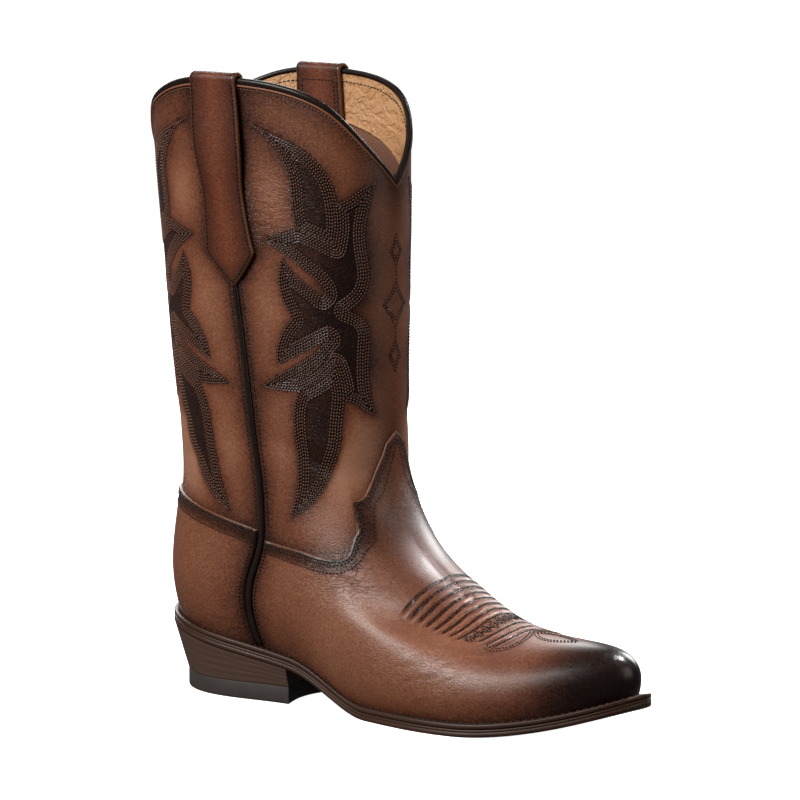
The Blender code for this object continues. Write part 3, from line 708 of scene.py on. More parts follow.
def collar_row(station):
    """The row of the scalloped collar edge."""
    near = folded(station)
    place = np.interp(near, FORM_STATIONS, FORM_REACH[-1])
    front_length = np.interp(FRONT, FORM_STATIONS, FORM_REACH[-1])
    back_length = -np.interp(0, FORM_STATIONS, FORM_REACH[-1])
    way = np.where(place >= 0, place / front_length, -place / back_length)
    ways = [p.way for p in COLLAR_LINE]
    front = smooth_table(ways, [p.front for p in COLLAR_LINE], way)
    back = smooth_table(ways, [p.back for p in COLLAR_LINE], way)
    return row_at_height(station, BOOT_HEIGHT - DIP_DEPTH * np.where(place >= 0, front, back))


def edge_row(stretch, station):
    """Rows of a charted edge at stations counted from the back."""
    return smooth_table([p.station for p in stretch], [p.row for p in stretch], station)


def vamp_row(station):
    """The row of the vamp's top edge, alike on both sides."""
    near = folded(station)
    row = edge_row(VAMP_SCALLOP, near)
    row = np.where(near > VAMP_SLOPE[0].station, edge_row(VAMP_SLOPE, near), row)
    return np.where(near > VAMP_PEAK[0].station, edge_row(VAMP_PEAK, near), row)


def sole_line(station, beyond):
    """Plan outline of the sole, a distance beyond the wall of the upper and its overlays."""
    station = np.asarray(station, float)
    rim = face(station, WELT_ROW, np.full(station.shape, GAP + OVERLAY_WALL + GAP))[..., :2]
    away = unit(outward(station, WELT_ROW)[..., :2])
    return rim + away * np.asarray(beyond, float)[..., None]


def ledge(station):
    """Width of the welt that shows beyond the upper at a station."""
    return smooth_table(range(FRONT + 1), LEDGE, folded(station))


def with_height(outline, height):
    """Plan points lifted to a height, which may differ from point to point."""
    return np.column_stack([outline, np.broadcast_to(height, len(outline))])


def frame_shift():
    """The step from the maker's frame to the part's, found from the outsole's lowest corner."""
    columns = 72
    station = np.arange(columns) * STATION_COUNT / columns
    outline = sole_line(station, ledge(station))
    low = np.array(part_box("outsole")[0]) / MM
    return np.array([low[0] - outline[:, 0].min(), low[1] - outline[:, 1].min(), low[2]])


SHIFT = frame_shift()


def nearest(points, line):
    """Distance from each point to the closest sample of a line."""
    shape = points.shape[:-1]
    points = points.reshape(-1, points.shape[-1])
    squares = (line**2).sum(axis=1)
    found = np.empty(len(points))
    for start in range(0, len(points), BATCH):
        batch = points[start : start + BATCH]
        gaps = (batch**2).sum(axis=1)[:, None] + squares - 2 * batch @ line.T
        found[start : start + BATCH] = gaps.min(axis=1)
    return np.sqrt(np.clip(found, 0, None)).reshape(shape)


def inside(points, outline):
    """Which plan points lie inside a closed outline."""
    x, y = points[..., 0], points[..., 1]
    found = np.zeros(x.shape, bool)
    for (ax, ay), (bx, by) in zip(outline, np.roll(outline, -1, axis=0)):
        if ay == by:
            continue
        crosses = (ay > y) != (by > y)
        found ^= crosses & (x < ax + (y - ay) * (bx - ax) / (by - ay))
    return found


def length_along(points):
    """Distances along a line from its first point."""
    steps = np.linalg.norm(np.diff(points, axis=0), axis=1)
    return np.concatenate([[0], np.cumsum(steps)])


def smooth_line(points, step=LINE_STEP):
    """A smooth curve through a few points, sampled at even steps."""
    points = np.asarray(points, float)
    knots = length_along(points)
    at = np.linspace(0, knots[-1], max(2, int(knots[-1] / step) + 1))
    return np.column_stack([smooth_table(knots, points[:, k], at) for k in range(points.shape[1])])


def left_of(line):
    """Unit directions to the left of a plan line."""
    along = unit(np.gradient(line, axis=0))
    return np.column_stack([-along[:, 1], along[:, 0]])


def leaf_outline():
    """The closed outline of the leaf motif, clockwise."""
    return np.vstack([smooth_line(edge)[:-1] for edge in LEAF_EDGES])


LEAF = leaf_outline()
LEAF_LINES = np.vstack([LEAF] + [smooth_line(vein) for vein in LEAF_VEINS])


def leaf_depth(reach, height):
    """Distance from the lines of the leaf motif on the shaft's panels, negative outside it."""
    near = np.where(reach >= 0, reach, -reach - BACK_LEAF_SHIFT)
    points = np.stack([near, height], axis=-1)
    gap = nearest(points, LEAF_LINES)
    return np.where(inside(points, LEAF[::3]), gap, -gap)


def leaf_rows(distance):
    """Runs of the sewn row that keeps a distance inside the leaf's outline and beside its veins."""
    line = []
    count = len(LEAF_EDGES)
    for k, edge in enumerate(LEAF_EDGES):
        curve = smooth_line(edge)
        right = -left_of(curve)
        line.append(curve + right * distance)
        after = -left_of(smooth_line(LEAF_EDGES[(k + 1) % count]))[0]
        start = np.arctan2(right[-1, 1], right[-1, 0])
        turn = (np.arctan2(after[1], after[0]) - start + np.pi) % (2 * np.pi) - np.pi
        if turn > 0:
            angle = start + np.linspace(0, turn, max(2, int(distance * turn / LINE_STEP)))
            line.append(curve[-1] + distance * np.column_stack([np.cos(angle), np.sin(angle)]))
    lines = [np.vstack(line)]
    for vein in LEAF_VEINS:
        curve = smooth_line(vein)
        lines.append(round_end(curve, distance) if distance > 0 else curve)
    runs = []
    for line in lines:
        kept = nearest(line, LEAF_LINES) > distance - 0.06
        if distance > 0:
            kept &= inside(line, LEAF[::3])
        runs += [run for run in runs_of(line, kept) if length_along(run)[-1] > SHORTEST_ROW]
    return runs


def round_end(curve, distance):
    """A line at a distance from a curve, up one side, round its end and back down the other."""
    left = left_of(curve)
    angle = np.arctan2(left[-1, 1], left[-1, 0]) - np.linspace(0, np.pi, 24)
    cap = curve[-1] + distance * np.column_stack([np.cos(angle), np.sin(angle)])
    return np.vstack([curve + left * distance, cap, (curve - left * distance)[::-1]])


def runs_of(line, kept):
    """The unbroken stretches of a line whose points are kept."""
    breaks = np.flatnonzero(np.diff(kept.astype(int))) + 1
    parts = zip(np.split(line, breaks), np.split(kept, breaks))
    return [part for part, keep in parts if keep[0] and len(part) > SHORTEST_RUN]


def grid_quads(rows, columns, closed):
    """Quads of a grid whose points are stored row by row, joined end to end where it is closed."""
    i = np.arange(rows - 1)[:, None] * columns
    j = np.arange(columns if closed else columns - 1)[None, :]
    k = (j + 1) % columns
    quads = np.stack([i + j, i + k, i + columns + k, i + columns + j], axis=-1)
    return quads.reshape(-1, 4).tolist()


def shell_faces(outer, inner, closed):
    """Faces of a closed piece of leather from its outer grid and a coarser inner grid."""
    rows, columns = outer.shape[:2]
    low_rows, low_columns = inner.shape[:2]
    start = rows * columns
    across = columns // low_columns if closed else (columns - 1) // (low_columns - 1)
    along = (rows - 1) // (low_rows - 1)
    faces = grid_quads(rows, columns, closed)
    faces += [[start + k for k in quad[::-1]] for quad in grid_quads(low_rows, low_columns, closed)]
    top = (rows - 1) * columns
    low_top = start + (low_rows - 1) * low_columns
    for j in range(low_columns if closed else low_columns - 1):
        after = (j + 1) % low_columns
        rim = [k % columns for k in range(j * across, (j + 1) * across + 1)]
        faces.append([top + k for k in rim] + [low_top + after, low_top + j])
        faces.append(rim[::-1] + [start + j, start + after])
    if not closed:
        for i in range(low_rows - 1):
            side = [k * columns for k in range(i * along, (i + 1) * along + 1)]
            low, high = start + i * low_columns, start + (i + 1) * low_columns
            faces.append(side + [high, low])
            far = [k + columns - 1 for k in reversed(side)]
            faces.append(far + [low + low_columns - 1, high + low_columns - 1])
    return faces


def ring_faces(rings, count):
    """Faces of a solid from rings stacked upwards, with its two ends closed by rungs."""
    faces = grid_quads(rings, count, True)
    top = (rings - 1) * count
    for i in range(count // 2):
        rung = list(dict.fromkeys([i, (count - i) % count, count - i - 1, i + 1]))
        faces.append(rung)
        faces.append([top + k for k in reversed(rung)])
    return faces


def hoop_faces(rings, count, closed):
    """Faces of a band: rings follow each other along it, closed end to end or with flat ends."""
    if closed:
        total = rings * count
        return [[k % total for k in quad] for quad in grid_quads(rings + 1, count, True)]
    ends = [list(range(count))[::-1], [(rings - 1) * count + k for k in range(count)]]
    return grid_quads(rings, count, True) + ends


def add_piece(name, points, faces, material, nodes=(), marks=None, sharp=None):
    """A smooth piece of the boot from points in the maker's frame, with its place in the part."""
    points = np.asarray(points).reshape(-1, 3)
    mesh = bpy.data.meshes.new(name)
    mesh.from_pydata(((points + SHIFT) * MM).tolist(), [], faces)
    mesh.materials.append(material)
    for mark, values in (marks or {}).items():
        layer = mesh.attributes.new(mark, "FLOAT", "POINT")
        layer.data.foreach_set("value", np.asarray(values, np.float32).ravel())
    mesh.shade_smooth()
    if sharp:
        mesh.set_sharp_from_angle(angle=sharp)
    obj = bpy.data.objects.new(name, mesh)
    bpy.context.scene.collection.objects.link(obj)
    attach(obj, "root")
    if nodes:
        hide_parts(*nodes)
    return obj


def add_shell(name, outer, inner, closed, material, nodes=(), marks=None):
    """A closed layer from its outer grid and an inner grid, which may be coarser."""
    points = np.vstack([outer.reshape(-1, 3), inner.reshape(-1, 3)])
    return add_piece(name, points, shell_faces(outer, inner, closed), material, nodes, marks)


def add_solid(name, rings, faces, material, nodes=(), sharp=None):
    """A closed solid from its rings of points, with its faces turned out."""
    face_outwards(add_piece(name, np.array(rings), faces, material, nodes, None, sharp))


def face_outwards(obj):
    """Turn the faces of a closed piece to point out of it."""
    mesh = obj.data
    count = len(mesh.polygons)
    points = np.empty(len(mesh.vertices) * 3)
    mesh.vertices.foreach_get("co", points)
    points = points.reshape(-1, 3)
    centres = np.empty(count * 3)
    normals = np.empty(count * 3)
    areas = np.empty(count)
    mesh.polygons.foreach_get("center", centres)
    mesh.polygons.foreach_get("normal", normals)
    mesh.polygons.foreach_get("area", areas)
    offsets = centres.reshape(-1, 3) - points.mean(axis=0)
    volume = ((offsets * normals.reshape(-1, 3)).sum(axis=1) * areas).sum()
    if volume < 0:
        mesh.flip_normals()


class Value:
    """A socket of a finish; sums, differences and products of it add Math nodes."""

    def __init__(self, finish, socket):
        self.finish = finish
        self.socket = socket

    def __add__(self, other):
        return self.finish.math("ADD", self, other)

    def __radd__(self, other):
        return self.finish.math("ADD", other, self)

    def __sub__(self, other):
        return self.finish.math("SUBTRACT", self, other)

    def __rsub__(self, other):
        return self.finish.math("SUBTRACT", other, self)

    def __mul__(self, other):
        return self.finish.math("MULTIPLY", self, other)

    def __rmul__(self, other):
        return self.finish.math("MULTIPLY", other, self)


class Finish:
    """A material whose shader is written as expressions on its sockets."""

    def __init__(self, name, constants):
        self.material = bpy.data.materials.new(name)
        self.material.use_nodes = True
        self.tree = self.material.node_tree
        self.shader = self.tree.nodes["Principled BSDF"]
        for socket, number in constants.items():
            self.shader.inputs[socket].default_value = number
        self.place = self.node("ShaderNodeTexCoord", {}, {}, "Object")

    def node(self, kind, settings, sockets, output=0):
        """A node of any type, its settings set first, then its sockets given values or links."""
        node = self.tree.nodes.new(kind)
        for key, setting in settings.items():
            if key == "stops":
                self.set_stops(node.color_ramp, setting)
            else:
                setattr(node, key, setting)
        for key, value in sockets.items():
            self.feed(node.inputs[key], value)
        return Value(self, node.outputs[output])

    def set_stops(self, ramp, stops):
        """Place a ramp's colours."""
        while len(ramp.elements) < len(stops):
            ramp.elements.new(1.0)
        for element, (position, colour) in zip(ramp.elements, stops):
            element.position = position
            element.color = (*colour, 1)

    def feed(self, socket, value):
        """Link a value to a socket, or set a number or colour on it."""
        if isinstance(value, Value):
            self.tree.links.new(value.socket, socket)
        elif hasattr(value, "__len__") and len(value) == 3 and socket.type == "RGBA":
            socket.default_value = (*value, 1)
        else:
            socket.default_value = value

    def put(self, socket, value):
        """Feed one of the shader's own sockets."""
        self.feed(self.shader.inputs[socket], value)

    def math(self, operation, *values):
        """A Math node over values and numbers."""
        return self.node("ShaderNodeMath", {"operation": operation}, dict(enumerate(values)))

    def attribute(self, name):
        """A mark that is stored on the mesh's points."""
        return self.node("ShaderNodeAttribute", {"attribute_name": name}, {}, "Fac")

    def stretched(self, scale):
        """The place on the object, stretched by a scale along each axis."""
        return self.node("ShaderNodeVectorMath", {"operation": "MULTIPLY"}, {0: self.place, 1: scale})

    def noise(self, scale, detail=3.0, rough=0.5, bend=0.0):
        """Soft noise about the middle, from -0.5 to 0.5."""
        place = self.place
        if hasattr(scale, "__len__"):
            place, scale = self.stretched(scale), 1.0
        sockets = {"Vector": place, "Scale": scale, "Detail": detail, "Roughness": rough, "Distortion": bend}
        return self.node("ShaderNodeTexNoise", {}, sockets) - 0.5

    def cells(self, scale, feature="F1"):
        """Distance within the cells of a leather-like grain."""
        sockets = {"Vector": self.place, "Scale": scale, "Randomness": 1.0}
        return self.node("ShaderNodeTexVoronoi", {"feature": feature}, sockets, "Distance")

    def step(self, value, low, high):
        """A soft step of a value from 0 at low to 1 at high."""
        settings = {"interpolation_type": "SMOOTHSTEP"}
        return self.node("ShaderNodeMapRange", settings, {"Value": value, "From Min": low, "From Max": high})

    def mix(self, share, first, second):
        """A colour between two others."""
        settings = {"data_type": "RGBA", "clamp_factor": True}
        return self.node("ShaderNodeMix", settings, {0: share, 6: first, 7: second}, 2)

    def ramp(self, value, stops):
        """A colour from a ramp's stops."""
        return self.node("ShaderNodeValToRGB", {"stops": stops}, {"Fac": value})

    def bump(self, height):
        """Fine relief from a height in millimetres."""
        self.put("Normal", self.node("ShaderNodeBump", {}, {"Height": height, "Distance": MM}))


def shared(make, colours):
    """A material made once and used by several pieces."""
    return bpy.data.materials.get(make.__name__) or make(colours)


def leather_finish(name, colours, stops):
    """Burnished leather that darkens by its mark of burnish and painted shade, with raw edges and sewn
    relief.
    """
    finish = Finish(name, {"Coat Roughness": 0.2, "Specular IOR Level": 0.34})
    sizes = bpy.context.scene.boot_sizes
    row_step = sizes.row_spacing / MM
    depth = (sizes.row_count - 1) * row_step
    burnish = finish.attribute("burnish")
    raw = finish.attribute("raw")
    motif = finish.attribute("motif")
    worn = finish.attribute("crinkle")
    polish = finish.attribute("polish")
    cloud = finish.noise(26.0, 4.0, 0.55)
    mottle = finish.noise(150.0, 4.0, 0.6, 0.6)
    fine = finish.noise(760.0, 2.0, 0.6)
    streak = finish.noise((420.0, 420.0, 1150.0), 2.0, 0.5, 2.5)
    hair = finish.noise((900.0, 900.0, 2300.0), 2.0, 0.6, 2.0)
    pores = finish.cells(950.0)
    wrinkle = finish.cells(640.0, "DISTANCE_TO_EDGE")
    crack = 1 - finish.step(wrinkle, 0.0, 0.1)
    grain = fine + streak * 0.8 - pores * 0.3 + 0.13
    hairs = finish.math("ABSOLUTE", finish.noise((150.0, 150.0, 430.0), 2.0, 0.5, 1.2))
    hairline = worn * (1 - finish.step(hairs, 0.0, 0.075))
    tone = burnish + cloud * 0.24 + mottle * 0.08 - grain * 0.45 - hair * 1.2 + crack * 0.05
    # Hairline wrinkles darken the tone: painted shade in the creases
    tone = tone + hairline * 0.16 + 0.02
    colour = finish.ramp(tone * 0.8 + 0.2, stops)
    finish.put("Base Color", finish.mix(raw, colour, colours.raw_edge))
    finish.put("Roughness", 0.38 + grain * 0.2 + mottle * 0.12 + raw * 0.3 - burnish * 0.13 + polish * 0.06)
    finish.put("Coat Weight", 0.08 - polish * 0.05)
    band = finish.step(motif, -1.0, -0.2) * (1 - finish.step(motif, depth + 0.2, depth + 1.0))
    wave = finish.math("COSINE", motif * (2 * np.pi / row_step)) * 0.5 + 0.5
    relief = grain * 0.065 + hair * 0.03 - crack * 0.03 + mottle * 0.03
    finish.bump(relief * (1 - polish) * (1 - polish) - band * wave * 0.2 - hairline * 0.2)
    return finish.material


def upper_leather(colours):
    """The brown leather of shaft, vamp and counter."""
    stops = (
        (0.0, colours.leather_pale),
        (0.2, colours.leather_light),
        (0.39, colours.leather),
        (0.7, colours.leather_dark),
        (1.0, colours.leather_black),
    )
    return leather_finish("upper_leather", colours, stops)


def strap_leather(colours):
    """The redder leather of the pull straps."""
    stops = (
        (0.1, colours.strap_light),
        (0.5, colours.strap),
        (0.8, colours.leather_dark),
        (1.0, colours.leather_black),
    )
    return leather_finish("strap_leather", colours, stops)


def binding_leather(colours):
    """Near-black leather of the collar's binding."""
    return trim_finish("binding_leather", colours, 0.1)


def piping_leather(colours):
    """Glossy near-black leather of the seam pipings."""
    return trim_finish("piping_leather", colours, 0.7)


def trim_finish(name, colours, coat):
    """Near-black leather under a coat of finish."""
    finish = Finish(name, {"Coat Weight": coat, "Coat Roughness": 0.12, "Specular IOR Level": 0.18})
    fine = finish.noise(1500.0, 4.0)
    cloud = finish.noise(120.0, 3.0)
    finish.put("Base Color", finish.mix(cloud * 0.4 + 0.05, colours.binding, colours.leather_dark))
    finish.put("Roughness", 0.34 + fine * 0.2)
    finish.bump(fine * 0.06 - finish.cells(1300.0) * 0.05)
    return finish.material


def raw_edge_leather(colours):
    """The cut edge of vegetable-tanned leather."""
    finish = Finish("raw_edge_leather", {})
    fibre = finish.noise(1400.0, 5.0, 0.7)
    finish.put("Base Color", finish.mix(fibre + 0.5, colours.raw_edge, colours.leather))
    finish.put("Roughness", 0.6 + fibre * 0.3)
    finish.bump(fibre * 0.12)
    return finish.material


def lining_leather(colours):
    """Golden tan lining leather with a wrinkled, glossy grain."""
    finish = Finish("lining_leather", {"Coat Weight": 0.15, "Coat Roughness": 0.3})
    cloud = finish.noise(55.0, 4.0, 0.6)
    grain = finish.noise(300.0, 4.0, 0.6, 1.6)
    fold = finish.math("ABSOLUTE", finish.noise(85.0, 3.0, 0.5, 1.6))
    crease = 1 - finish.step(fold, 0.0, 0.11)
    tone = cloud * 0.9 + grain * 0.35 + 0.5
    colour = finish.mix(tone, colours.lining_dark, colours.lining)
    # Darker in the creases: painted shade
    finish.put("Base Color", finish.mix(crease * 0.12, colour, colours.lining_dark))
    finish.put("Roughness", 0.42 + grain * 0.25)
    finish.bump(grain * 0.8 - crease * 0.45)
    return finish.material


def lining_cloth(colours):
    """Plain woven lining below the leather facing."""
    finish = Finish("lining_cloth", {"Sheen Weight": 0.2})
    threads = []
    for axis in "XZ":
        way = finish.node("ShaderNodeSeparateXYZ", {}, {0: finish.place}, axis)
        threads.append(finish.math("SINE", way * 3000.0))
    fibre = finish.noise(1200.0, 4.0)
    weave = threads[0] * threads[1]
    finish.put("Base Color", finish.mix(weave * 0.6 + fibre * 0.6 + 0.5, colours.cloth_dark, colours.cloth))
    finish.put("Roughness", 0.8 + fibre * 0.2)
    finish.bump(weave * 0.12 + fibre * 0.08)
    return finish.material


def thread_finish(name, colour, shade):
    """Twisted waxed thread."""
    finish = Finish(name, {"Specular IOR Level": 0.25})
    twist = finish.noise(2600.0, 3.0, 0.6)
    finish.put("Base Color", finish.mix(twist + 0.5, shade, colour))
    finish.put("Roughness", 0.52 + twist * 0.3)
    finish.bump(twist * 0.08)
    return finish.material


def dark_thread(colours):
    """Thread of the vamp's rows, the seams, the straps and the welt."""
    return thread_finish("dark_thread", colours.thread, colours.leather_black)


def leaf_thread(colours):
    """Thread of the leaf motif, coloured lighter than its dark brown as a painted highlight on each stitch.
    """
    return thread_finish("leaf_thread", colours.leaf_thread, colours.leather_dark)


def tan_thread(colours):
    """Thread of the row under the collar's bead."""
    return thread_finish("tan_thread", colours.tan_thread, colours.leather_dark)


def sole_finish(name, light, dark, layer):
    """Edge-dyed sole leather with fine layers along the sole."""
    finish = Finish(name, {"Specular IOR Level": 0.26, "Coat Weight": 0.04, "Coat Roughness": 0.35})
    layers = finish.noise((14.0, 14.0, layer), 4.0, 0.6)
    fibre = finish.noise(900.0, 4.0, 0.65)
    scuff = finish.step(finish.noise(120.0, 5.0, 0.7, 1.0), 0.12, 0.34)
    colour = finish.mix(layers * 0.9 + fibre * 0.5 + 0.5, dark, light)
    finish.put("Base Color", finish.mix(scuff * 0.4, colour, light))
    finish.put("Roughness", 0.46 + fibre * 0.25 + scuff * 0.1)
    finish.bump(layers * 0.16 + fibre * 0.1)
    return finish.material


def edge_dyed_leather(colours):
    """The dark brown edge of outsole and welt."""
    return sole_finish("edge_dyed_leather", colours.sole, colours.sole_dark, 650.0)


def heel_leather(colours):
    """The stacked heel's grey-brown edge."""
    return sole_finish("heel_leather", colours.heel, colours.heel_dark, 420.0)


def cap_rubber(colours):
    """The moulded rubber of the heel cap."""
    finish = Finish("cap_rubber", {"Specular IOR Level": 0.35})
    fine = finish.noise(1500.0, 4.0, 0.6)
    cloud = finish.noise(90.0, 4.0, 0.6)
    finish.put("Base Color", finish.mix(cloud + fine * 0.4 + 0.5, colours.rubber_dark, colours.rubber))
    finish.put("Roughness", 0.62 + fine * 0.2)
    finish.bump(fine * 0.07)
    return finish.material


def sock_leather(colours):
    """The tan sock leather inside the boot."""
    finish = Finish("sock_leather", {})
    grain = finish.noise(600.0, 4.0, 0.6)
    cloud = finish.noise(40.0, 4.0)
    finish.put("Base Color", finish.mix(cloud + grain * 0.4 + 0.5, colours.lining_dark, colours.lining))
    finish.put("Roughness", 0.55 + grain * 0.2)
    finish.bump(grain * 0.12)
    return finish.material


def stage_paper(colours):
    """The pale floor of the stage."""
    glow = {"Emission Color": (1, 1, 1, 1), "Emission Strength": 1.0, "Specular IOR Level": 0.1}
    finish = Finish("stage_paper", glow)
    fibre = finish.noise(9.0, 2.0)
    finish.put("Base Color", finish.mix(fibre * 0.2 + 0.5, colours.floor, (0.95, 0.95, 0.95)))
    finish.put("Roughness", 0.85 + fibre * 0.05)
    return finish.material


def crease_relief(station, row, creases):
    """Listed wrinkles on the outer side and, mirrored, on the inner: soft troughs with ridges."""
    place = face(station, row) + SHIFT
    sideways_share = smooth_step(0.35, 0.75, np.abs(outward(station, row)[..., 1]))
    relief = np.zeros(place.shape[:-1])
    for crease in creases:
        dx = place[..., 0] - crease.x
        dz = place[..., 2] - crease.z
        along = dx * np.cos(crease.tilt) + dz * np.sin(crease.tilt)
        across = dz * np.cos(crease.tilt) - dx * np.sin(crease.tilt)
        across = across + 0.12 * crease.half_length * np.sin(along / crease.half_length * 2.2)
        fade = np.exp(-((along / crease.half_length) ** 2) * 1.6)
        share = across / crease.half_width
        relief -= crease.depth * fade * (np.exp(-(share**2)) - 0.45 * np.exp(-((share - 1.9) ** 2)))
    return relief * sideways_share


def tinted(points):
    """Deeper brown and painted shade of the vamp, alike on the outer and inner sides."""
    place = points + SHIFT
    place = np.stack([place[..., 0], -np.abs(place[..., 1]), place[..., 2]], axis=-1)
    shades = []
    for tint in VAMP_TINTS_AND_SHADES:
        gap = ((place - np.array([tint.x, tint.y, tint.z])) ** 2).sum(axis=-1)
        shades.append(tint.strength * np.exp(-gap / tint.spread**2))
    return shade(*shades)


def crinkled(points):
    """Share of hairline wrinkles at points, alike on the outer and inner sides."""
    place = points + SHIFT
    share = np.zeros(place.shape[:-1])
    for spot in CRINKLES:
        along = (place[..., 0] - spot.x) / spot.half_length
        up = (place[..., 2] - spot.z) / spot.half_height
        across = (np.abs(place[..., 1]) - abs(spot.y)) / spot.half_length
        share = np.maximum(share, spot.strength * np.exp(-(along**2) - up**2 - across**2))
    return share


def shade(*shares):
    """Several burnishes and painted shades laid over each other."""
    clear = 1.0
    for share in shares:
        clear = clear * (1 - np.clip(share, 0, 1))
    return 1 - clear


def faded(burnish, gap):
    """Burnish and painted shade at a distance from the edge that they fade away from."""
    return burnish.strength * np.exp(-np.clip(gap, 0, None) / burnish.fade)


def ridged(ridge, gap):
    """Height of a soft ridge at a distance from the seam."""
    return ridge.height * np.exp(-(((gap - ridge.middle) / ridge.half) ** 2))


def overlay_top(station):
    """Rows of the overlays' top edge, from the counter's to the vamp's."""
    near = folded(station)
    soft = 0.15
    level = np.where(near < SEAM, COUNTER_ROW, vamp_row(station))
    blend = smooth_step(SEAM - soft, SEAM + soft, near)
    between = COUNTER_ROW + blend * (vamp_row(SEAM) - COUNTER_ROW)
    return np.where(np.abs(near - SEAM) < soft, between, level)


def add_shaft(context):
    """The leather of the shaft and what lies under the overlays."""
    station = even_stations(SHAFT_COLUMNS + 1, 10.0, SEAM - FRONT, SEAM + FRONT)[:-1]
    overlay = overlay_top(station)
    cover = overlay - OVERLAY_LAP
    edge = collar_row(station)
    row = cover + np.linspace(0, 1, SHAFT_SHOWN)[:, None] * (edge - cover)
    around = np.broadcast_to(station, row.shape)
    base = face(around, row)
    reach = lookup(FORM_REACH, folded(around), row)
    height = base[..., 2] + SHIFT[2]
    motif = leaf_depth(reach, height)
    seam_gap = np.abs(reach)
    lift = crease_relief(around, row, SHAFT_CREASES)
    lift += ridged(SHAFT_SEAM_RIDGE, seam_gap) + ridged(SHAFT_SEAM_TROUGH, seam_gap)
    collar_gap = (edge - row) * ROW_STEPS[-1]
    lift *= smooth_step(0.0, 0.4, row - cover) * smooth_step(0.0, 5.0, collar_gap)
    burnish = shade(
        SEWN_BURNISH * sewn_band(context.scene.boot_sizes, motif),
        airbrush(reach, height, LEAF_SHADES),
        LEAF_BURNISH * smooth_step(-0.5, 4.0, motif),
        faded(LEAF_HALO, -motif),
        faded(COLLAR_BURNISH, collar_gap),
        # Painted shadow round the strap's edges, with some burnish
        faded(STRAP_SHADOW, seam_gap - strap_reach(height)),
        faded(SEAM_BURNISH, seam_gap),
        # Painted shadow just above the overlays' top edges
        faded(OVERLAY_SHADOW, (row - overlay) * OVERLAY_ROW_STEP),
    )
    # Lighter places of the shaft: worn leather and painted sheen
    burnish = burnish - airbrush(reach, height, SHAFT_WEAR_AND_SHEEN) * smooth_step(0.0, 4.0, -motif)
    marks = {"burnish": burnish, "raw": 0 * burnish, "motif": motif, "crinkle": crinkled(base)}
    marks = {mark: with_inner(values, SHAFT_THIN) for mark, values in marks.items()}
    thin = slice(None, None, SHAFT_THIN)
    inner = face(around[thin, thin], row[thin, thin], SHAFT_BACK)
    material = shared(upper_leather, context.scene.boot_colours)
    outer = face(around, row, lift)
    add_shell("shaft_leather", outer, inner, True, material, ["upper"], marks)
    add_foot(station[::2], cover[::2] + FOOT_LAP, material)


def sewn_band(sizes, motif):
    """Share of the band that the leaf motif's sewn rows fill, from the distance inside its outline."""
    depth = (sizes.row_count - 1) * sizes.row_spacing / MM
    return smooth_step(-0.9, -0.2, motif) * (1 - smooth_step(depth + 0.2, depth + 1.2, motif))


def airbrush(reach, height, spots):
    """Soft spots laid over each other, alike on the shaft's front and back panels."""
    near = np.where(reach >= 0, reach, -reach - BACK_LEAF_SHIFT)
    shades = []
    for spot in spots:
        gap = ((near - spot.reach) ** 2 + (height - spot.height) ** 2) / spot.spread**2
        shades.append(spot.strength * np.exp(-gap))
    return shade(*shades)


def add_foot(station, cover, material):
    """The foot of the upper, which lies under the overlays."""
    row = np.linspace(0, 1, FOOT_SLICES)[:, None] * cover
    around = np.broadcast_to(station, row.shape)
    outer = face(around, row, FOOT_LIFT)
    inner = face(around, row, SHAFT_BACK)
    plain = {"burnish": FOOT_BURNISH, "raw": 0.0, "motif": NO_MOTIF}
    marks = {mark: np.full(2 * row.size, value) for mark, value in plain.items()}
    add_shell("foot_leather", outer, inner, True, material, (), marks)


def with_inner(values, thin):
    """A mark for the outer points of a shell, followed by its values at the inner ones."""
    return np.concatenate([values.ravel(), values[::thin, ::thin].ravel()])


def edge_slices(edge, foot, slices, station_at):
    """Rows up to an edge, evenly and then in fine steps close to it."""
    station = station_at(edge)
    reach = np.linalg.norm(face(station, edge) - face(station, edge - 0.1), axis=-1) / 0.1
    near = edge - np.array(EDGE_STEPS)[:, None] / reach
    share = np.linspace(0, 1, slices)[:, None]
    return np.vstack([foot + share * (near[0] - foot), near[1:]])


def rolled(gap, radius):
    """Share of an overlay's thickness at a distance from its edge, which is rounded over."""
    share = np.clip(gap / radius, 0, 1)
    return 0.3 + 0.7 * np.sqrt(1 - (1 - share) ** 2)


def vamp_rows_share(points):
    """Share of the padded ridge and of the groove of the vamp's sewn rows at points."""
    place = points + SHIFT
    y = place[..., 1] - VAMP_MIDDLE
    along = place[..., 0] + VAMP_ROW_BOW * (y / VAMP_ROW_HALF) ** 2
    phase = (along - VAMP_ROW_START) / VAMP_ROW_STEP
    last = VAMP_ROW_COUNT - 1
    half = VAMP_ROW_HALF - VAMP_ROW_TAPER * np.clip(phase, 0, last)
    within = smooth_step(-0.5, 0.0, phase) * (1 - smooth_step(last, last + 0.5, phase))
    within *= (1 - smooth_step(half - 1.0, half + 2.5, np.abs(y))) * (place[..., 2] > VAMP_ROW_FLOOR)
    groove = within * (0.5 + 0.5 * np.cos(2 * np.pi * phase)) ** VAMP_GROOVE_POWER
    late_within = (1 - smooth_step(*VAMP_LATE_HALF, np.abs(y))) * (place[..., 2] > VAMP_LATE_FLOOR)
    for late in VAMP_LATE_ROWS:
        gap = np.abs(along - late) / VAMP_ROW_STEP
        near = late_within * (1 - smooth_step(0.3, 0.7, gap))
        wave = 0.5 + 0.5 * np.cos(2 * np.pi * np.clip(gap, 0, 0.5))
        groove = groove + near * wave**VAMP_GROOVE_POWER
        within = np.maximum(within, near)
    return within, groove


def vamp_station(row, share):
    """Stations across the vamp, from beside the outer seam to beside the inner one."""
    clear = PIPING_WIDTH / 2 + GAP
    low = beside_seam(row, clear)
    high = beside_seam(row, clear, inner=True) + STATION_COUNT
    return low + share * (high - low)


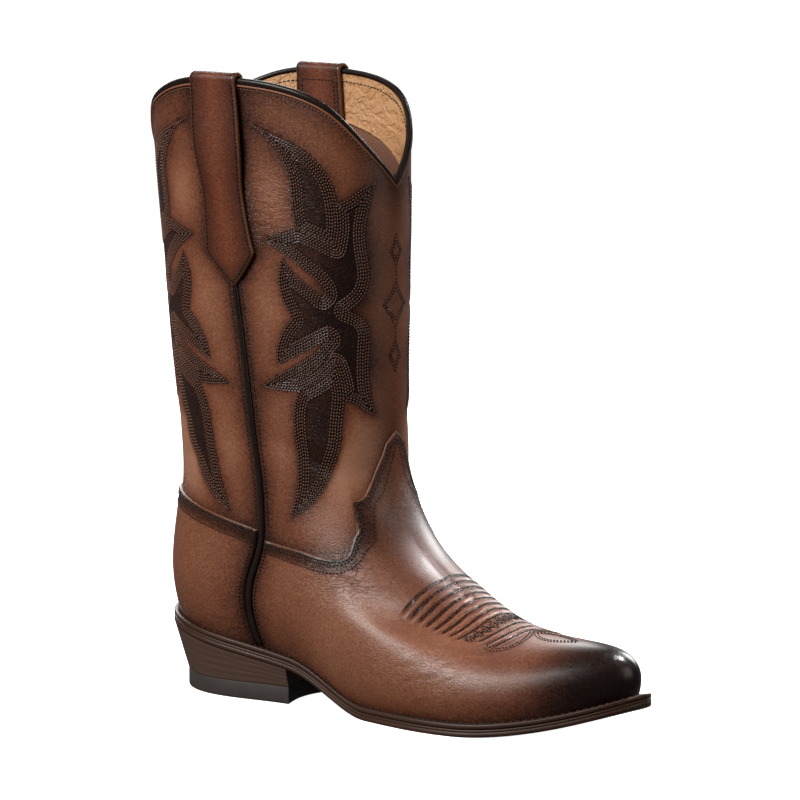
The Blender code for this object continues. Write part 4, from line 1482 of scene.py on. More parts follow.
def lay_overlay(context, name, node, station, row, relief, shades, marks):
    """An overlay of the foot with rolled edges, a ridge beside each side seam, and its burnish and painted
    shade.
    """
    base = face(station, row)
    sides = np.vstack([base[:, 0], base[:, -1]])
    gap = nearest(base, np.vstack([base[-1], sides]))
    top_gap = nearest(base, base[-1])
    side_gap = nearest(base, sides)
    welt_gap = base[..., 2] - sole_top(base[..., 0]) - WELT_THICKNESS
    lift = GAP + OVERLAY_WALL * rolled(gap, OVERLAY_ROLL) + relief * smooth_step(0.5, 4.0, gap)
    lift += ridged(OVERLAY_SEAM_RIDGE, side_gap) * smooth_step(0.0, OVERLAY_SEAM_RIDGE.half, side_gap)
    # Along the welt the overlays darken: painted shade where they meet the sole, with burnish
    edges = faded(WELT_SHADE_AND_BURNISH, welt_gap), faded(SIDE_BURNISH, side_gap), faded(TOP_BURNISH, top_gap)
    raw = (1 - smooth_step(0.3, 0.75, top_gap)) * RAW_EDGE_SHARE
    marks = {"burnish": shade(*shades, *edges), "raw": raw, "motif": 0 * raw + NO_MOTIF, **marks}
    marks["crinkle"] = crinkled(base)
    marks = {mark: with_inner(values, OVERLAY_THIN) for mark, values in marks.items()}
    thin = slice(None, None, OVERLAY_THIN)
    inner = face(station[thin, thin], row[thin, thin], GAP * 0.6)
    material = shared(upper_leather, context.scene.boot_colours)
    outer = face(station, row, lift)
    add_shell(name, outer, inner, False, material, [node], marks)


def add_vamp(context):
    """The front overlay of the foot, which rises to a tongue on the shaft."""
    even = even_stations(VAMP_COLUMNS, 3.0, SEAM, INNER_SEAM)
    share = (even - SEAM) / (INNER_SEAM - SEAM)
    edge = np.full(VAMP_COLUMNS, VAMP_FIRST_ROW)
    for _ in range(EDGE_ROUNDS):
        edge = (edge + vamp_row(vamp_station(edge, share))) / 2
    row = edge_slices(edge, OVERLAY_FOOT_ROW, VAMP_SLICES, lambda at: vamp_station(at, share))
    station = vamp_station(row, share)
    base = face(station, row)
    ridge, groove = vamp_rows_share(base)
    relief = VAMP_RIDGE_HEIGHT * ridge - VAMP_GROOVE_DEPTH * groove
    relief = relief + crease_relief(station, row, VAMP_CREASES)
    tip = base[0, VAMP_COLUMNS // 2] + np.array(TOE_POLISH_OFFSET)
    tip_gap = np.linalg.norm((base - tip) * np.array(TOE_POLISH_SCALE), axis=-1)
    polish = 1.0 - smooth_step(*TOE_POLISH_FADE, tip_gap)
    near = folded(station)
    band = VAMP_BAND_BURNISH - VAMP_BAND_FRONT_DROP * smooth_step(4.8, 5.5, near)
    band = band * smooth_step(-0.16, 0.16, row - edge_row(VAMP_BAND, near))
    toe = TOE_BURNISH * (1 - smooth_step(*TOE_BURNISH_FADE, tip_gap))
    # The grooves of the sewn rows darken as painted shade
    shades = band, polish, VAMP_GROOVE_SHADE * groove**3, toe, tinted(base)
    lay_overlay(context, "vamp_leather", "vamp", station, row, relief, shades, {"polish": polish})


def counter_station(row, share):
    """Stations across the counter, from beside the inner seam round the heel to beside the outer one."""
    clear = -PIPING_WIDTH / 2 - GAP
    low = beside_seam(row, clear, inner=True)
    high = beside_seam(row, clear)
    return low + share * (high - low)


def add_counter(context):
    """The overlay round the heel."""
    share = np.linspace(0, 1, COUNTER_COLUMNS)
    edge = np.full(COUNTER_COLUMNS, COUNTER_ROW)
    row = edge_slices(edge, OVERLAY_FOOT_ROW, COUNTER_SLICES, lambda at: counter_station(at, share))
    row = np.broadcast_to(row, (len(row), COUNTER_COLUMNS))
    station = counter_station(row, share)
    band = COUNTER_BAND_BURNISH * smooth_step(-0.15, 0.2, row - COUNTER_BAND_ROW)
    shades = band, COUNTER_BURNISH + 0 * row
    lay_overlay(context, "counter_leather", "counter", station, row, 0.0, shades, {})


def add_lining(context):
    """The woven lining and the leather facing round the collar, inside the shaft."""
    colours = context.scene.boot_colours
    station = even_stations(LINING_COLUMNS + 1, 10.0, SEAM - FRONT, SEAM + FRONT)[:-1]
    edge = collar_row(station) - 0.6 / ROW_STEPS[-1]
    forward = smooth_step(SEAM, FRONT, folded(station))
    low = edge - (FACING_DEPTH + FACING_FRONT_DROP * forward) / ROW_STEPS[-1]
    share = np.linspace(0, 1, CLOTH_SLICES)[:, None]
    row = LINING_FOOT_ROW + share * (low + LINING_LAP / ROW_STEPS[-1] - LINING_FOOT_ROW)
    add_inner_wall("lining_cloth", station, row, *CLOTH_LIFTS, shared(lining_cloth, colours))
    row = low + np.linspace(0, 1, LINING_SLICES)[:, None] * (edge - low)
    leather = shared(lining_leather, colours)
    add_inner_wall("collar_facing", station, row, *FACING_LIFTS, leather)
    add_bead("facing_edge", station, low, FACING_EDGE_LIFT, FACING_EDGE_RADIUS, leather)


def add_inner_wall(name, station, row, outside, within, material):
    """A layer on the inside of the shaft, wrinkled a little towards the inside."""
    around = np.broadcast_to(station, row.shape)
    wave = np.sin(around * 9.0 + 2.5 * np.sin(row * 21.0)) * np.sin(row * 34.0 + around * 4.0)
    shape = LINING_WAVE * wave * np.sin(np.linspace(0, np.pi, len(row)))[:, None]
    near_side = face(around, row, outside)
    far_side = face(around, row, within + shape)
    add_shell(name, near_side, far_side, True, material)


def add_bead(name, station, row, lift, radius, material):
    """A round strand that runs round the shaft and closes on itself."""
    rail = face(station, row, lift)
    away = outward(station, row)
    along = unit(np.roll(rail, -1, axis=0) - np.roll(rail, 1, axis=0))
    beside = np.cross(away, along)
    angle = np.arange(BEAD_SIDES) * 2 * np.pi / BEAD_SIDES
    ring = away[:, None] * np.cos(angle)[:, None] + beside[:, None] * np.sin(angle)[:, None]
    add_solid(name, rail[:, None] + radius * ring, hoop_faces(len(rail), BEAD_SIDES, True), material)


def side_name(inner):
    """The side of the boot in the names of its pieces."""
    return "inner" if inner else "outer"


def add_seam_piping(context, inner):
    """The black bead down a side seam, from the strap's point to the welt."""
    tip_row = row_at_height(SEAM, STRAP_TIP_HEIGHT + 4.0)
    row = np.linspace(PIPING_FOOT_ROW, tip_row, SEAM_STEPS)
    half = PIPING_HALF + PIPING_FOOT_EXTRA * (1 - smooth_step(4.3, 5.6, row))
    sections = []
    for turn in np.linspace(0, np.pi, PIPING_SECTIONS):
        station = side_station(row, half * np.cos(turn), inner)
        sections.append(face(station, row, PIPING_LIFT + PIPING_HEIGHT * np.sin(turn) ** 0.8))
    sections.append(face(side_station(row, 0.0, inner), row, PIPING_FLOOR))
    side = side_name(inner)
    material = shared(piping_leather, context.scene.boot_colours)
    faces = hoop_faces(SEAM_STEPS, len(sections), False)
    rings = np.stack(sections, axis=1)
    add_solid(side + "_seam_piping", rings, faces, material, ["side_piping_" + side])


def side_station(row, distance, inner):
    """Stations at distances forward of a side seam that change from row to row."""
    seam = float(INNER_SEAM - STATION_COUNT if inner else SEAM)
    ahead = -distance if inner else distance
    start = lookup(FORM_REACH, seam, row)
    low = np.full(np.shape(row), seam - 1.9)
    high = np.full(np.shape(row), seam + 1.9)
    return halve(low, high, lambda at: lookup(FORM_REACH, at, row) - start < ahead)


def add_collar(context):
    """The folded binding of the collar edge, and the bead of bare leather under it."""
    colours = context.scene.boot_colours
    station = even_stations(COLLAR_COLUMNS + 1, 11.0, SEAM - FRONT, SEAM + FRONT)[:-1]
    edge = collar_row(station)
    up = 1 / ROW_STEPS[-1]
    middle = -UPPER_WALL / 2 - 0.1
    round_half = UPPER_WALL / 2 + GAP + BINDING_ROUND
    rim = middle + round_half
    fold = [(-BINDING_SHOWN, 0.1), (-BINDING_SHOWN, rim - 0.2), (-BINDING_SHOWN + 0.4, rim)]
    for turn in np.linspace(0, np.pi, 9):
        fold.append((0.1 + 1.5 * np.sin(turn), middle + round_half * np.cos(turn)))
    fold += [(-BINDING_INSIDE, middle - round_half), (-BINDING_INSIDE, -UPPER_WALL - 0.2), (0.0, middle)]
    rings = [face(station, edge + rise * up, np.full(COLLAR_COLUMNS, lift)) for rise, lift in fold]
    rings = lift_past_top(rings, edge, fold, up)
    faces = hoop_faces(len(rings), COLLAR_COLUMNS, True)
    material = shared(binding_leather, colours)
    add_solid("collar_binding_leather", rings, faces, material, ["collar_binding"])
    low = edge - (BINDING_SHOWN + BEAD_DROP) * up
    material = shared(raw_edge_leather, colours)
    add_bead("collar_bead", station, low, BEAD_LIFT, BEAD_RADIUS, material)


def lift_past_top(rings, edge, fold, up):
    """Raise what lies above the highest row of the charted surface, which ends there."""
    raised = []
    for ring, (rise, _) in zip(rings, fold):
        above = np.clip(edge + rise * up - TOP_ROW, 0, None) / up
        raised.append(ring + above[:, None] * np.array([0, 0, 1.0]))
    return raised


def strap_half_width(height):
    """Half width of a pull strap at a height on its outer leg, held level above it."""
    return smooth_table([p.height for p in STRAP_OUTLINE], [p.half for p in STRAP_OUTLINE], height)


def strap_reach(height):
    """Half width of a pull strap at a height, with its point."""
    share = np.clip((height - STRAP_TIP_HEIGHT) / STRAP_POINT, 0, 1)
    return strap_half_width(height) * share ** (1 / STRAP_POINT_POWER)


def strap_face(across, inner, lift):
    """Grid of a pull strap at a lift above its own under side, from its point up, over and down inside."""
    clear = GAP + BINDING_WALL + GAP
    inside_reach = UPPER_WALL + clear
    fold_height = BOOT_HEIGHT + GAP
    low = STRAP_TIP_HEIGHT + STRAP_POINT * np.abs(across) ** STRAP_POINT_POWER
    up = np.linspace(0, 1, STRAP_RISE_STEPS)
    turn = np.linspace(0, np.pi, STRAP_TURN_STEPS + 2)[1:-1]
    down = np.linspace(0, 1, STRAP_DROP_STEPS)
    heights = np.vstack(
        [
            low + up[:, None] * (fold_height - low),
            np.full((len(turn), len(across)), fold_height),
            fold_height - down[:, None] * STRAP_INNER_DEPTH + 0 * across,
        ]
    )
    rise = np.concatenate([0 * up, np.sin(turn), 0 * down])
    outer_reach = GAP + (clear - GAP) * up
    turn_reach = (clear - inside_reach) / 2 + (clear + inside_reach) / 2 * np.cos(turn)
    reach = np.concatenate([outer_reach, turn_reach, 0 * down - inside_reach])
    side = np.concatenate([0 * up + 1, np.cos(turn), 0 * down - 1])
    row = row_at_height(np.full(heights.shape, float(SEAM)), heights)
    half = across * strap_half_width(heights)
    station = side_station(row, half, inner)
    stand = STRAP_STAND * np.sin(np.pi * np.clip(up, 0, 1)) ** 2 * smooth_step(0.25, 0.7, up)
    stand = np.concatenate([stand, 0 * turn, 0 * down])
    points = face(station, row, (reach + stand)[:, None] + side[:, None] * lift)
    points[..., 2] += (STRAP_FOLD_RISE * rise)[:, None] + rise[:, None] * lift
    return points


def add_strap(context, inner):
    """A pull strap with rounded raw edges."""
    across = np.linspace(-1, 1, STRAP_COLUMNS)
    across = np.sort(np.concatenate([across[2:-2], STRAP_RIM, np.negative(STRAP_RIM)]))
    gap = (1 - np.abs(across)) * STRAP_EVEN_HALF
    rounded = np.sqrt(1 - (1 - np.clip(gap / STRAP_ROLL, 0, 1)) ** 2)
    thickness = STRAP_WALL * (STRAP_EDGE_SHARE + (1 - STRAP_EDGE_SHARE) * rounded)
    outer = strap_face(across, inner, thickness)
    under = strap_face(across, inner, 0 * thickness)
    if inner:
        outer, under = outer[:, ::-1], under[:, ::-1]
        gap = gap[::-1]
    start = np.linalg.norm(outer - outer[:1], axis=-1)
    rim_gap = np.minimum(np.broadcast_to(gap, start.shape), start)
    burnish = shade(faded(STRAP_RIM_BURNISH, rim_gap), STRAP_BURNISH + 0 * rim_gap)
    # A light rim of raw leather at the cut edge, drawn wider so that it also paints light on the strap's
    # side wall
    raw_and_lit_rim = STRAP_RAW_SHARE * (1 - smooth_step(0.3, 0.85, rim_gap))
    raw = np.concatenate([raw_and_lit_rim.ravel(), np.ones(rim_gap.size)])
    marks = {"burnish": with_inner(burnish, 1), "raw": raw * STRAP_RAW_SHARE, "motif": 0 * raw + NO_MOTIF}
    side = side_name(inner)
    material = shared(strap_leather, context.scene.boot_colours)
    nodes = ["pull_strap_" + side]
    strap = add_shell(side + "_pull_strap", outer, under, False, material, nodes, marks)
    face_outwards(strap)


SoleEdge = namedtuple("SoleEdge", "beyond rise")
OUTSOLE_EDGE = (
    SoleEdge(-0.9, 0.0),
    SoleEdge(-0.35, 0.22),
    SoleEdge(-0.05, 0.7),
    SoleEdge(0.0, 1.3),
    SoleEdge(-0.05, 2.2),
    SoleEdge(-0.3, 2.45),
    SoleEdge(-0.3, 2.6),
    SoleEdge(-0.02, 2.9),
    SoleEdge(0.0, 3.5),
    SoleEdge(-0.3, 3.9),
    SoleEdge(-0.8, 4.0),
)
WELT_EDGE = (
    SoleEdge(-0.4, 0.0),
    SoleEdge(-0.1, 0.25),
    SoleEdge(0.0, 0.7),
    SoleEdge(0.0, 1.5),
    SoleEdge(-0.2, 2.1),
    SoleEdge(-0.7, 2.4),
)


def sole_ring(station, beyond, base, rise):
    """A ring round the sole a distance beyond the upper, at a rise over the sole's bottom or top."""
    outline = sole_line(station, beyond)
    return with_height(outline, base(outline[:, 0]) + rise)


def add_sole(context):
    """The outsole with its rounded, grooved edge and the welt on it."""
    station = even_stations(SOLE_COLUMNS + 1, WELT_ROW, SEAM - FRONT, SEAM + FRONT)[:-1]
    station = np.roll(station, -np.argmin(np.abs(station)))
    width = ledge(station)
    rings = [sole_ring(station, width + edge.beyond, sole_bottom, edge.rise) for edge in OUTSOLE_EDGE]
    material = shared(edge_dyed_leather, context.scene.boot_colours)
    faces = ring_faces(len(rings), SOLE_COLUMNS)
    add_solid("outsole_leather", rings, faces, material, ["outsole"])
    rings = [sole_ring(station, width + edge.beyond, sole_top, edge.rise) for edge in WELT_EDGE]
    rings += [sole_ring(station, 0 * width - WELT_INSET, sole_top, rise) for rise in (WELT_THICKNESS, 0.0)]
    faces = hoop_faces(len(rings), SOLE_COLUMNS, True)
    add_solid("welt_leather", rings, faces, material, ["welt"])


# Edge of one lift of the heel, from its foot up: share of its height and inset
LiftEdge = namedtuple("LiftEdge", "share inset")
LIFT_EDGE = (
    LiftEdge(0.04, 0.06),
    LiftEdge(0.1, 0.02),
    LiftEdge(0.9, 0.02),
    LiftEdge(0.96, 0.06),
)
# Edge of the heel cap and of the insole, from below up: inset and height
InsetEdge = namedtuple("InsetEdge", "inset height")
HEEL_CAP_EDGE = (
    InsetEdge(1.2, 0.0),
    InsetEdge(0.5, 0.15),
    InsetEdge(0.12, 0.6),
    InsetEdge(0.0, 1.3),
    InsetEdge(0.0, HEEL_CAP_THICKNESS - 0.7),
    InsetEdge(0.25, HEEL_CAP_THICKNESS - 0.1),
    InsetEdge(0.7, HEEL_CAP_THICKNESS),
)
INSOLE_EDGE = (
    InsetEdge(4.0, 0.1),
    InsetEdge(4.0, 2.2),
    InsetEdge(4.6, 2.8),
    InsetEdge(6.0, INSOLE_THICKNESS),
)
LIFT_CREASE_ANGLE = 0.9


def heel_outline(inset):
    """Plan outline under the heel seat, from the outer corner along the hollow breast and back round."""
    fine = np.linspace(0, SEAM + 1, 481)
    outer = sole_line(fine, ledge(fine) - inset)
    inner = sole_line(-fine, ledge(fine) - inset)
    front = BREAST_X - inset
    outer_end = np.interp(front, outer[:, 0], fine)
    inner_end = np.interp(front, inner[:, 0], fine)
    half = HEEL_COLUMNS // 2
    rear_station = np.linspace(-inner_end, outer_end, half + 1)
    rear = sole_line(rear_station, ledge(rear_station) - inset)
    share = np.linspace(0, 1, half + 1)[1:-1, None]
    breast = rear[-1] + share * (rear[0] - rear[-1])
    breast[:, 0] = front - BREAST_HOLLOW * np.sin(np.pi * share[:, 0])
    return np.vstack([rear[-1:], breast, rear[:-1]])


def raked(outline, share):
    """A heel outline drawn in towards the floor: fully at a share of 1, more behind than beside."""
    back = np.clip((BREAST_X - outline[:, 0]) / BREAST_X, 0, 1)
    narrow = 1 - share * HEEL_SIDE_RAKE / np.abs(outline[:, 1]).max()
    return np.column_stack([outline[:, 0] + share * HEEL_BACK_RAKE * back, outline[:, 1] * narrow])


def add_heel(context):
    """The stacked heel, whose lifts part in fine grooves, and the rubber cap under it."""
    colours = context.scene.boot_colours
    floor = HEEL_CAP_THICKNESS + HEEL_CLEARANCE
    rings = []
    for lift in range(HEEL_LIFTS):
        for edge in LIFT_EDGE:
            outline = heel_outline(GAP + edge.inset)
            seat = sole_bottom(outline[:, 0]) - HEEL_CLEARANCE
            up = (lift + edge.share) / HEEL_LIFTS
            rings.append(with_height(raked(outline, 1 - up), (1 - up) * floor + up * seat))
    material = shared(heel_leather, colours)
    faces = ring_faces(len(rings), HEEL_COLUMNS)
    add_solid("heel_lifts", rings, faces, material, ["heel_stack"], LIFT_CREASE_ANGLE)
    outlines = [raked(heel_outline(GAP + edge.inset), 1) for edge in HEEL_CAP_EDGE]
    rings = [with_height(outline, edge.height) for outline, edge in zip(outlines, HEEL_CAP_EDGE)]
    material = shared(cap_rubber, colours)
    faces = ring_faces(len(rings), HEEL_COLUMNS)
    add_solid("heel_cap_rubber", rings, faces, material, ["heel_cap"], LIFT_CREASE_ANGLE)


def add_insole(context):
    """The board inside the upper, on the outsole, with a rounded top edge."""
    station = np.arange(INSOLE_COLUMNS) * STATION_COUNT / INSOLE_COLUMNS
    rings = []
    for edge in INSOLE_EDGE:
        outline = face(station, 0 * station, -UPPER_WALL - edge.inset * GAP)[:, :2]
        rings.append(with_height(outline, sole_top(outline[:, 0]) + edge.height))
    material = shared(sock_leather, context.scene.boot_colours)
    faces = ring_faces(len(rings), INSOLE_COLUMNS)
    add_solid("insole_board", rings, faces, material, ["insole"])


# A stitch along its length: share of the way, girth and sink in shares of the thread's half width
StitchRing = namedtuple("StitchRing", "way girth sink")
STITCH_RINGS = (
    StitchRing(-0.5, 0.5, -0.9),
    StitchRing(-0.26, 1.0, 0.15),
    StitchRing(0.26, 1.0, 0.15),
    StitchRing(0.5, 0.5, -0.9),
)
STITCH_SIDES = 4


def stitch_places(points, normals, pitch):
    """Middles, spans and normals of stitches at an even pitch along a line on the leather."""
    length = length_along(points)
    count = max(1, int(round(length[-1] / pitch)))
    ends = np.linspace(0, length[-1], count + 1)
    places = np.column_stack([np.interp(ends, length, points[:, k]) for k in range(3)])
    halfway = (ends[1:] + ends[:-1]) / 2
    middle = np.column_stack([np.interp(halfway, length, points[:, k]) for k in range(3)])
    away = np.column_stack([np.interp(halfway, length, normals[:, k]) for k in range(3)])
    return middle, np.diff(places, axis=0), away


def add_stitches(name, runs, pitch, width, material, fill=0.84):
    """Many stitches as one mesh, each a short bowed strand sunk at its ends."""
    places = [stitch_places(points, normals, pitch) for points, normals in runs if len(points) > 1]
    middle = np.vstack([place[0] for place in places])
    span = np.vstack([place[1] for place in places])
    away = unit(np.vstack([place[2] for place in places]))
    beside = unit(np.cross(away, span))
    half = width / 2
    angle = (np.arange(STITCH_SIDES) + 0.5) * 2 * np.pi / STITCH_SIDES
    points = np.empty((len(middle), len(STITCH_RINGS), STITCH_SIDES, 3))
    for i, ring in enumerate(STITCH_RINGS):
        centre = middle + span * ring.way * fill + away * (ring.sink * half)
        for k, turn in enumerate(angle):
            points[:, i, k] = centre + ring.girth * half * (np.cos(turn) * beside + np.sin(turn) * away)
    count = len(STITCH_RINGS) * STITCH_SIDES
    one = np.array(grid_quads(len(STITCH_RINGS), STITCH_SIDES, True))
    top = (len(STITCH_RINGS) - 1) * STITCH_SIDES
    ends = np.array([[3, 2, 1, 0], [top, top + 1, top + 2, top + 3]])
    one = np.vstack([one, ends])
    faces = (one[None] + (np.arange(len(middle)) * count)[:, None, None]).reshape(-1, 4).tolist()
    add_piece(name, points, faces, material)


def sewn(station, row, lift):
    """A sewn run at a lift above the upper's face: its points and the directions out of the leather."""
    return face(station, row, lift), outward(station, row)


def shaft_run(reach, height, inner):
    """A sewn run on the shaft's outer or inner side, from distances to the seam and heights."""
    station, row = shaft_place(reach, height)
    if inner:
        station = STATION_COUNT - station
    return sewn(station, row, THREAD_LIFT + crease_relief(station, row, SHAFT_CREASES))


def leaf_runs(sizes, inner):
    """The sewn rows of the leaf motif on the front and back panels of one side."""
    runs = []
    for k in range(sizes.row_count):
        for run in leaf_rows(k * sizes.row_spacing / MM):
            runs.append(shaft_run(run[:, 0], run[:, 1], inner))
            runs.append(shaft_run(-run[:, 0] - BACK_LEAF_SHIFT, run[:, 1], inner))
    return runs


def front_run(offset, height):
    """A sewn run beside the front middle line of the shaft."""
    row = row_at_height(np.full(len(height), float(FRONT)), height)
    start = reach_of(float(FRONT), row)
    low = np.full(len(height), FRONT - 1.5)
    high = np.full(len(height), FRONT + 1.5)
    station = halve(low, high, lambda at: reach_of(at, row) - start < offset)
    return sewn(station, row, THREAD_LIFT)


def diamond_runs():
    """Double-sewn diamonds down the front of the shaft, joined by short links."""
    runs = []
    for diamond in DIAMONDS:
        for inset in DIAMOND_INSETS:
            half = diamond.half - inset
            top = diamond.top - inset * DIAMOND_STEEPNESS
            foot = diamond.foot + inset * DIAMOND_STEEPNESS
            for side in (-1, 1):
                for end in (top, foot):
                    share = np.linspace(0, 1, 40)
                    width = side * half * (share + DIAMOND_HOLLOW * share * (share - 1))
                    runs.append(front_run(width, end + share * (diamond.middle - end)))
    for above, below in zip(DIAMONDS, DIAMONDS[1:]):
        height = np.linspace(above.foot, below.top, 20)
        runs.append(front_run(0 * height + DIAMOND_LINK_OFFSET, height))
    return runs


def seam_runs(inner):
    """A sewn row on either side of the side seam's piping, from the strap to the sole."""
    runs = []
    top = row_at_height(SEAM, STRAP_TIP_HEIGHT + SEAM_SEWN_PAST_TIP)
    for distance in (-SEAM_SEWN, SEAM_SEWN):
        row = np.linspace(SHAFT_SEWN_FOOT, top, 300)
        runs.append(sewn(side_station(row, distance, inner), row, SEAM_THREAD_LIFT))
        row = np.linspace(*FOOT_SEWN_ROWS, 200)
        station = side_station(row, distance * FOOT_SEWN_SHARE, inner)
        runs.append(sewn(station, row, GAP + OVERLAY_WALL + FOOT_THREAD_LIFT))
    return runs


def sideways(station, row, distance):
    """Step across the leather to the left of a line of stations and rows."""
    for _ in range(SIDEWAYS_STEPS):
        along = np.gradient(face(station, row), axis=0)
        left = unit(np.cross(outward(station, row), along)) * distance / SIDEWAYS_STEPS
        by_station = (face(station + NUDGE, row) - face(station - NUDGE, row)) / (2 * NUDGE)
        by_row = (face(station, row + NUDGE) - face(station, row - NUDGE)) / (2 * NUDGE)
        aa = (by_station**2).sum(axis=1)
        bb = (by_row**2).sum(axis=1)
        ab = (by_station * by_row).sum(axis=1)
        la = (left * by_station).sum(axis=1)
        lb = (left * by_row).sum(axis=1)
        det = aa * bb - ab * ab
        station = station + (la * bb - lb * ab) / det
        row = row + (lb * aa - la * ab) / det
    return station, row


def edge_runs(station, row, distances):
    """Sewn rows that keep distances inside an overlay's edge, which runs with the overlay on its right."""
    runs = []
    edge = face(station, row)
    for distance in distances:
        at_station, at_row = sideways(station, row, -distance)
        kept = nearest(face(at_station, at_row), edge) > distance - EDGE_SEWN_SLACK
        both = np.concatenate(sewn(at_station, at_row, OVERLAY_THREAD_LIFT), axis=1)
        runs += [(run[:, :3], run[:, 3:]) for run in runs_of(both, kept)]
    return runs


def line_on_form(stations, rows):
    """Evenly sampled stations and rows of a line on the upper's face."""
    fine = np.linspace(0, 1, 3000)
    at = np.linspace(0, 1, len(stations))
    station, row = np.interp(fine, at, stations), np.interp(fine, at, rows)
    length = length_along(face(station, row))
    even = np.linspace(0, length[-1], int(length[-1] / LINE_STEP))
    return np.interp(even, length, station), np.interp(even, length, row)


def overlay_runs():
    """Sewn rows along the top edges of vamp and counter and along their dark bands."""
    share = np.linspace(0, 1, 1500)
    station = SEAM + 0.08 + share * (INNER_SEAM - SEAM - 0.16)
    runs = edge_runs(*line_on_form(station, vamp_row(station)), EDGE_SEWN)
    counter = -SEAM + 0.06 + share * (2 * SEAM - 0.12)
    runs += edge_runs(*line_on_form(counter, np.full(len(counter), COUNTER_ROW)), EDGE_SEWN)
    for outer, inner in ((SEAM + 0.12, FRONT), (FRONT, INNER_SEAM - 0.12)):
        at = np.linspace(outer, inner, 900)
        at, row = line_on_form(at, edge_row(VAMP_BAND, folded(at)))
        runs.append(sewn(at, row, OVERLAY_THREAD_LIFT))
    at, row = line_on_form(counter, np.full(len(counter), COUNTER_BAND_ROW))
    runs.append(sewn(at, row, OVERLAY_THREAD_LIFT))
    return runs


def dropped(tree, plan):
    """Plan points in the part's frame, dropped from above onto the vamp, with the leather's normals."""
    points, normals = [], []
    for x, y in plan:
        hit, normal, _, _ = tree.ray_cast(Vector((x * MM, y * MM, 0.2)), Vector((0, 0, -1)))
        if hit is None:
            raise RuntimeError(f"no vamp under the sewn row at {x:.1f}, {y:.1f}")
        points.append(np.array(hit) / MM - SHIFT + np.array(normal) * THREAD_LIFT)
        normals.append(np.array(normal))
    return np.array(points), np.array(normals)


def bowed(along, y):
    """Plan points of a line across the vamp that bows back towards its ends."""
    return np.column_stack([along - VAMP_ROW_BOW * (y / VAMP_ROW_HALF) ** 2, y + VAMP_MIDDLE])


def vamp_runs():
    """Sewn rows, filigree and medallion on the vamp."""
    graph = bpy.context.evaluated_depsgraph_get()
    tree = BVHTree.FromObject(bpy.data.objects["vamp_leather"], graph)
    plans = []
    y = np.linspace(-VAMP_ROW_HALF, VAMP_ROW_HALF, 140)
    for k in range(VAMP_ROW_COUNT):
        share = 1 - VAMP_ROW_TAPER * k / VAMP_ROW_HALF
        plans.append(bowed(VAMP_ROW_START + k * VAMP_ROW_STEP, y * share))
    for late in VAMP_LATE_ROWS:
        plans.append(bowed(late, y * LATE_ROW_SHARE))
    zigzag = np.abs((y / FILIGREE_STEP) % 2 - 1) * 2 - 1
    for side in (-1, 1):
        for share in FILIGREE_SHARES:
            bend = side * FILIGREE_HALF * share * zigzag
            plans.append(bowed(FILIGREE_ROW + bend, y * FILIGREE_LENGTH))
    for mirror in (-1, 1):
        for chart in (MEDALLION_LOBE, MEDALLION_LEAF):
            line = smooth_line(np.array(chart) * np.array([1, mirror]))
            for apart in (-MEDALLION_APART, MEDALLION_APART):
                plans.append(line + left_of(line) * apart + np.array([0, VAMP_MIDDLE]))
    return [dropped(tree, plan) for plan in plans]


def strap_sewing(across, inner):
    """Grids of points on a pull strap's outer face and of the directions out of it."""
    over = strap_face(across, inner, np.full(len(across), STRAP_WALL + THREAD_LIFT))
    return over, unit(over - strap_face(across, inner, np.zeros(len(across))))


def strap_runs(inner):
    """Sewn rows near the rims of a pull strap, across its point, and a box on its inner leg."""
    over, away = strap_sewing(np.array([-STRAP_SEWN_RIM, STRAP_SEWN_RIM]), inner)
    runs = [(over[leg, k], away[leg, k]) for k in range(2) for leg in STRAP_SEWN_LEGS]
    over, away = strap_sewing(np.linspace(-STRAP_SEWN_POINT, STRAP_SEWN_POINT, 61), inner)
    runs.append((over[STRAP_POINT_LINE], away[STRAP_POINT_LINE]))
    over, away = strap_sewing(np.linspace(-STRAP_SEWN_BOX, STRAP_SEWN_BOX, 41), inner)
    over, away = over[STRAP_BOX], away[STRAP_BOX]
    whole = slice(None)
    for side in ((0, whole), (-1, whole), (whole, 0), (whole, -1)):
        runs.append((over[side], away[side]))
    return runs


def collar_runs():
    """A row of small light stitches under the collar's bead, and one inside the facing."""
    station = even_stations(1201, 11.0, SEAM - FRONT, SEAM + FRONT)
    edge = collar_row(station)
    low = edge - (BINDING_SHOWN + COLLAR_SEWN_DROP) / ROW_STEPS[-1]
    outer = sewn(station, low, THREAD_LIFT)
    low = edge - (BINDING_DEPTH + FACING_SEWN_DROP) / ROW_STEPS[-1]
    within, away = sewn(station, low, FACING_SEWN_LIFT)
    return [outer], [(within, -away)]


def welt_run():
    """The line of stitches along the top of the welt."""
    station = even_stations(2001, WELT_ROW, WELT_SEWN_BACK, STATION_COUNT - WELT_SEWN_BACK)
    points = sole_ring(station, ledge(station) * WELT_SEWN_SHARE, sole_top, WELT_THICKNESS + THREAD_LIFT)
    return [(points, np.broadcast_to([0, 0, 1.0], points.shape))]


def length_property(name, description, default):
    """A length that a user may change."""
    return FloatProperty(name=name, description=description, default=default, unit="LENGTH")


class BootSizes(bpy.types.PropertyGroup):
    """Sizes of the sewing."""

    stitch_pitch: length_property("Stitch Pitch", "Length of one stitch of seams and rows", 0.002)
    leaf_pitch: length_property("Leaf Pitch", "Length of one stitch of the leaf motif", 0.0017)
    thread_width: length_property("Thread Width", "Width of the ornament's thread", 0.0007)
    row_spacing: length_property("Row Spacing", "Distance between the leaf motif's rows", 0.00135)
    row_count: IntProperty(name="Row Count", description="Sewn rows of the leaf motif", default=5, min=1)
    welt_pitch: length_property("Welt Pitch", "Length of one stitch of the welt", 0.0038)


def colour_property(name, description, default):
    """A colour that a user may change."""
    settings = {"subtype": "COLOR", "min": 0, "max": 1}
    return FloatVectorProperty(name=name, description=description, default=default, **settings)


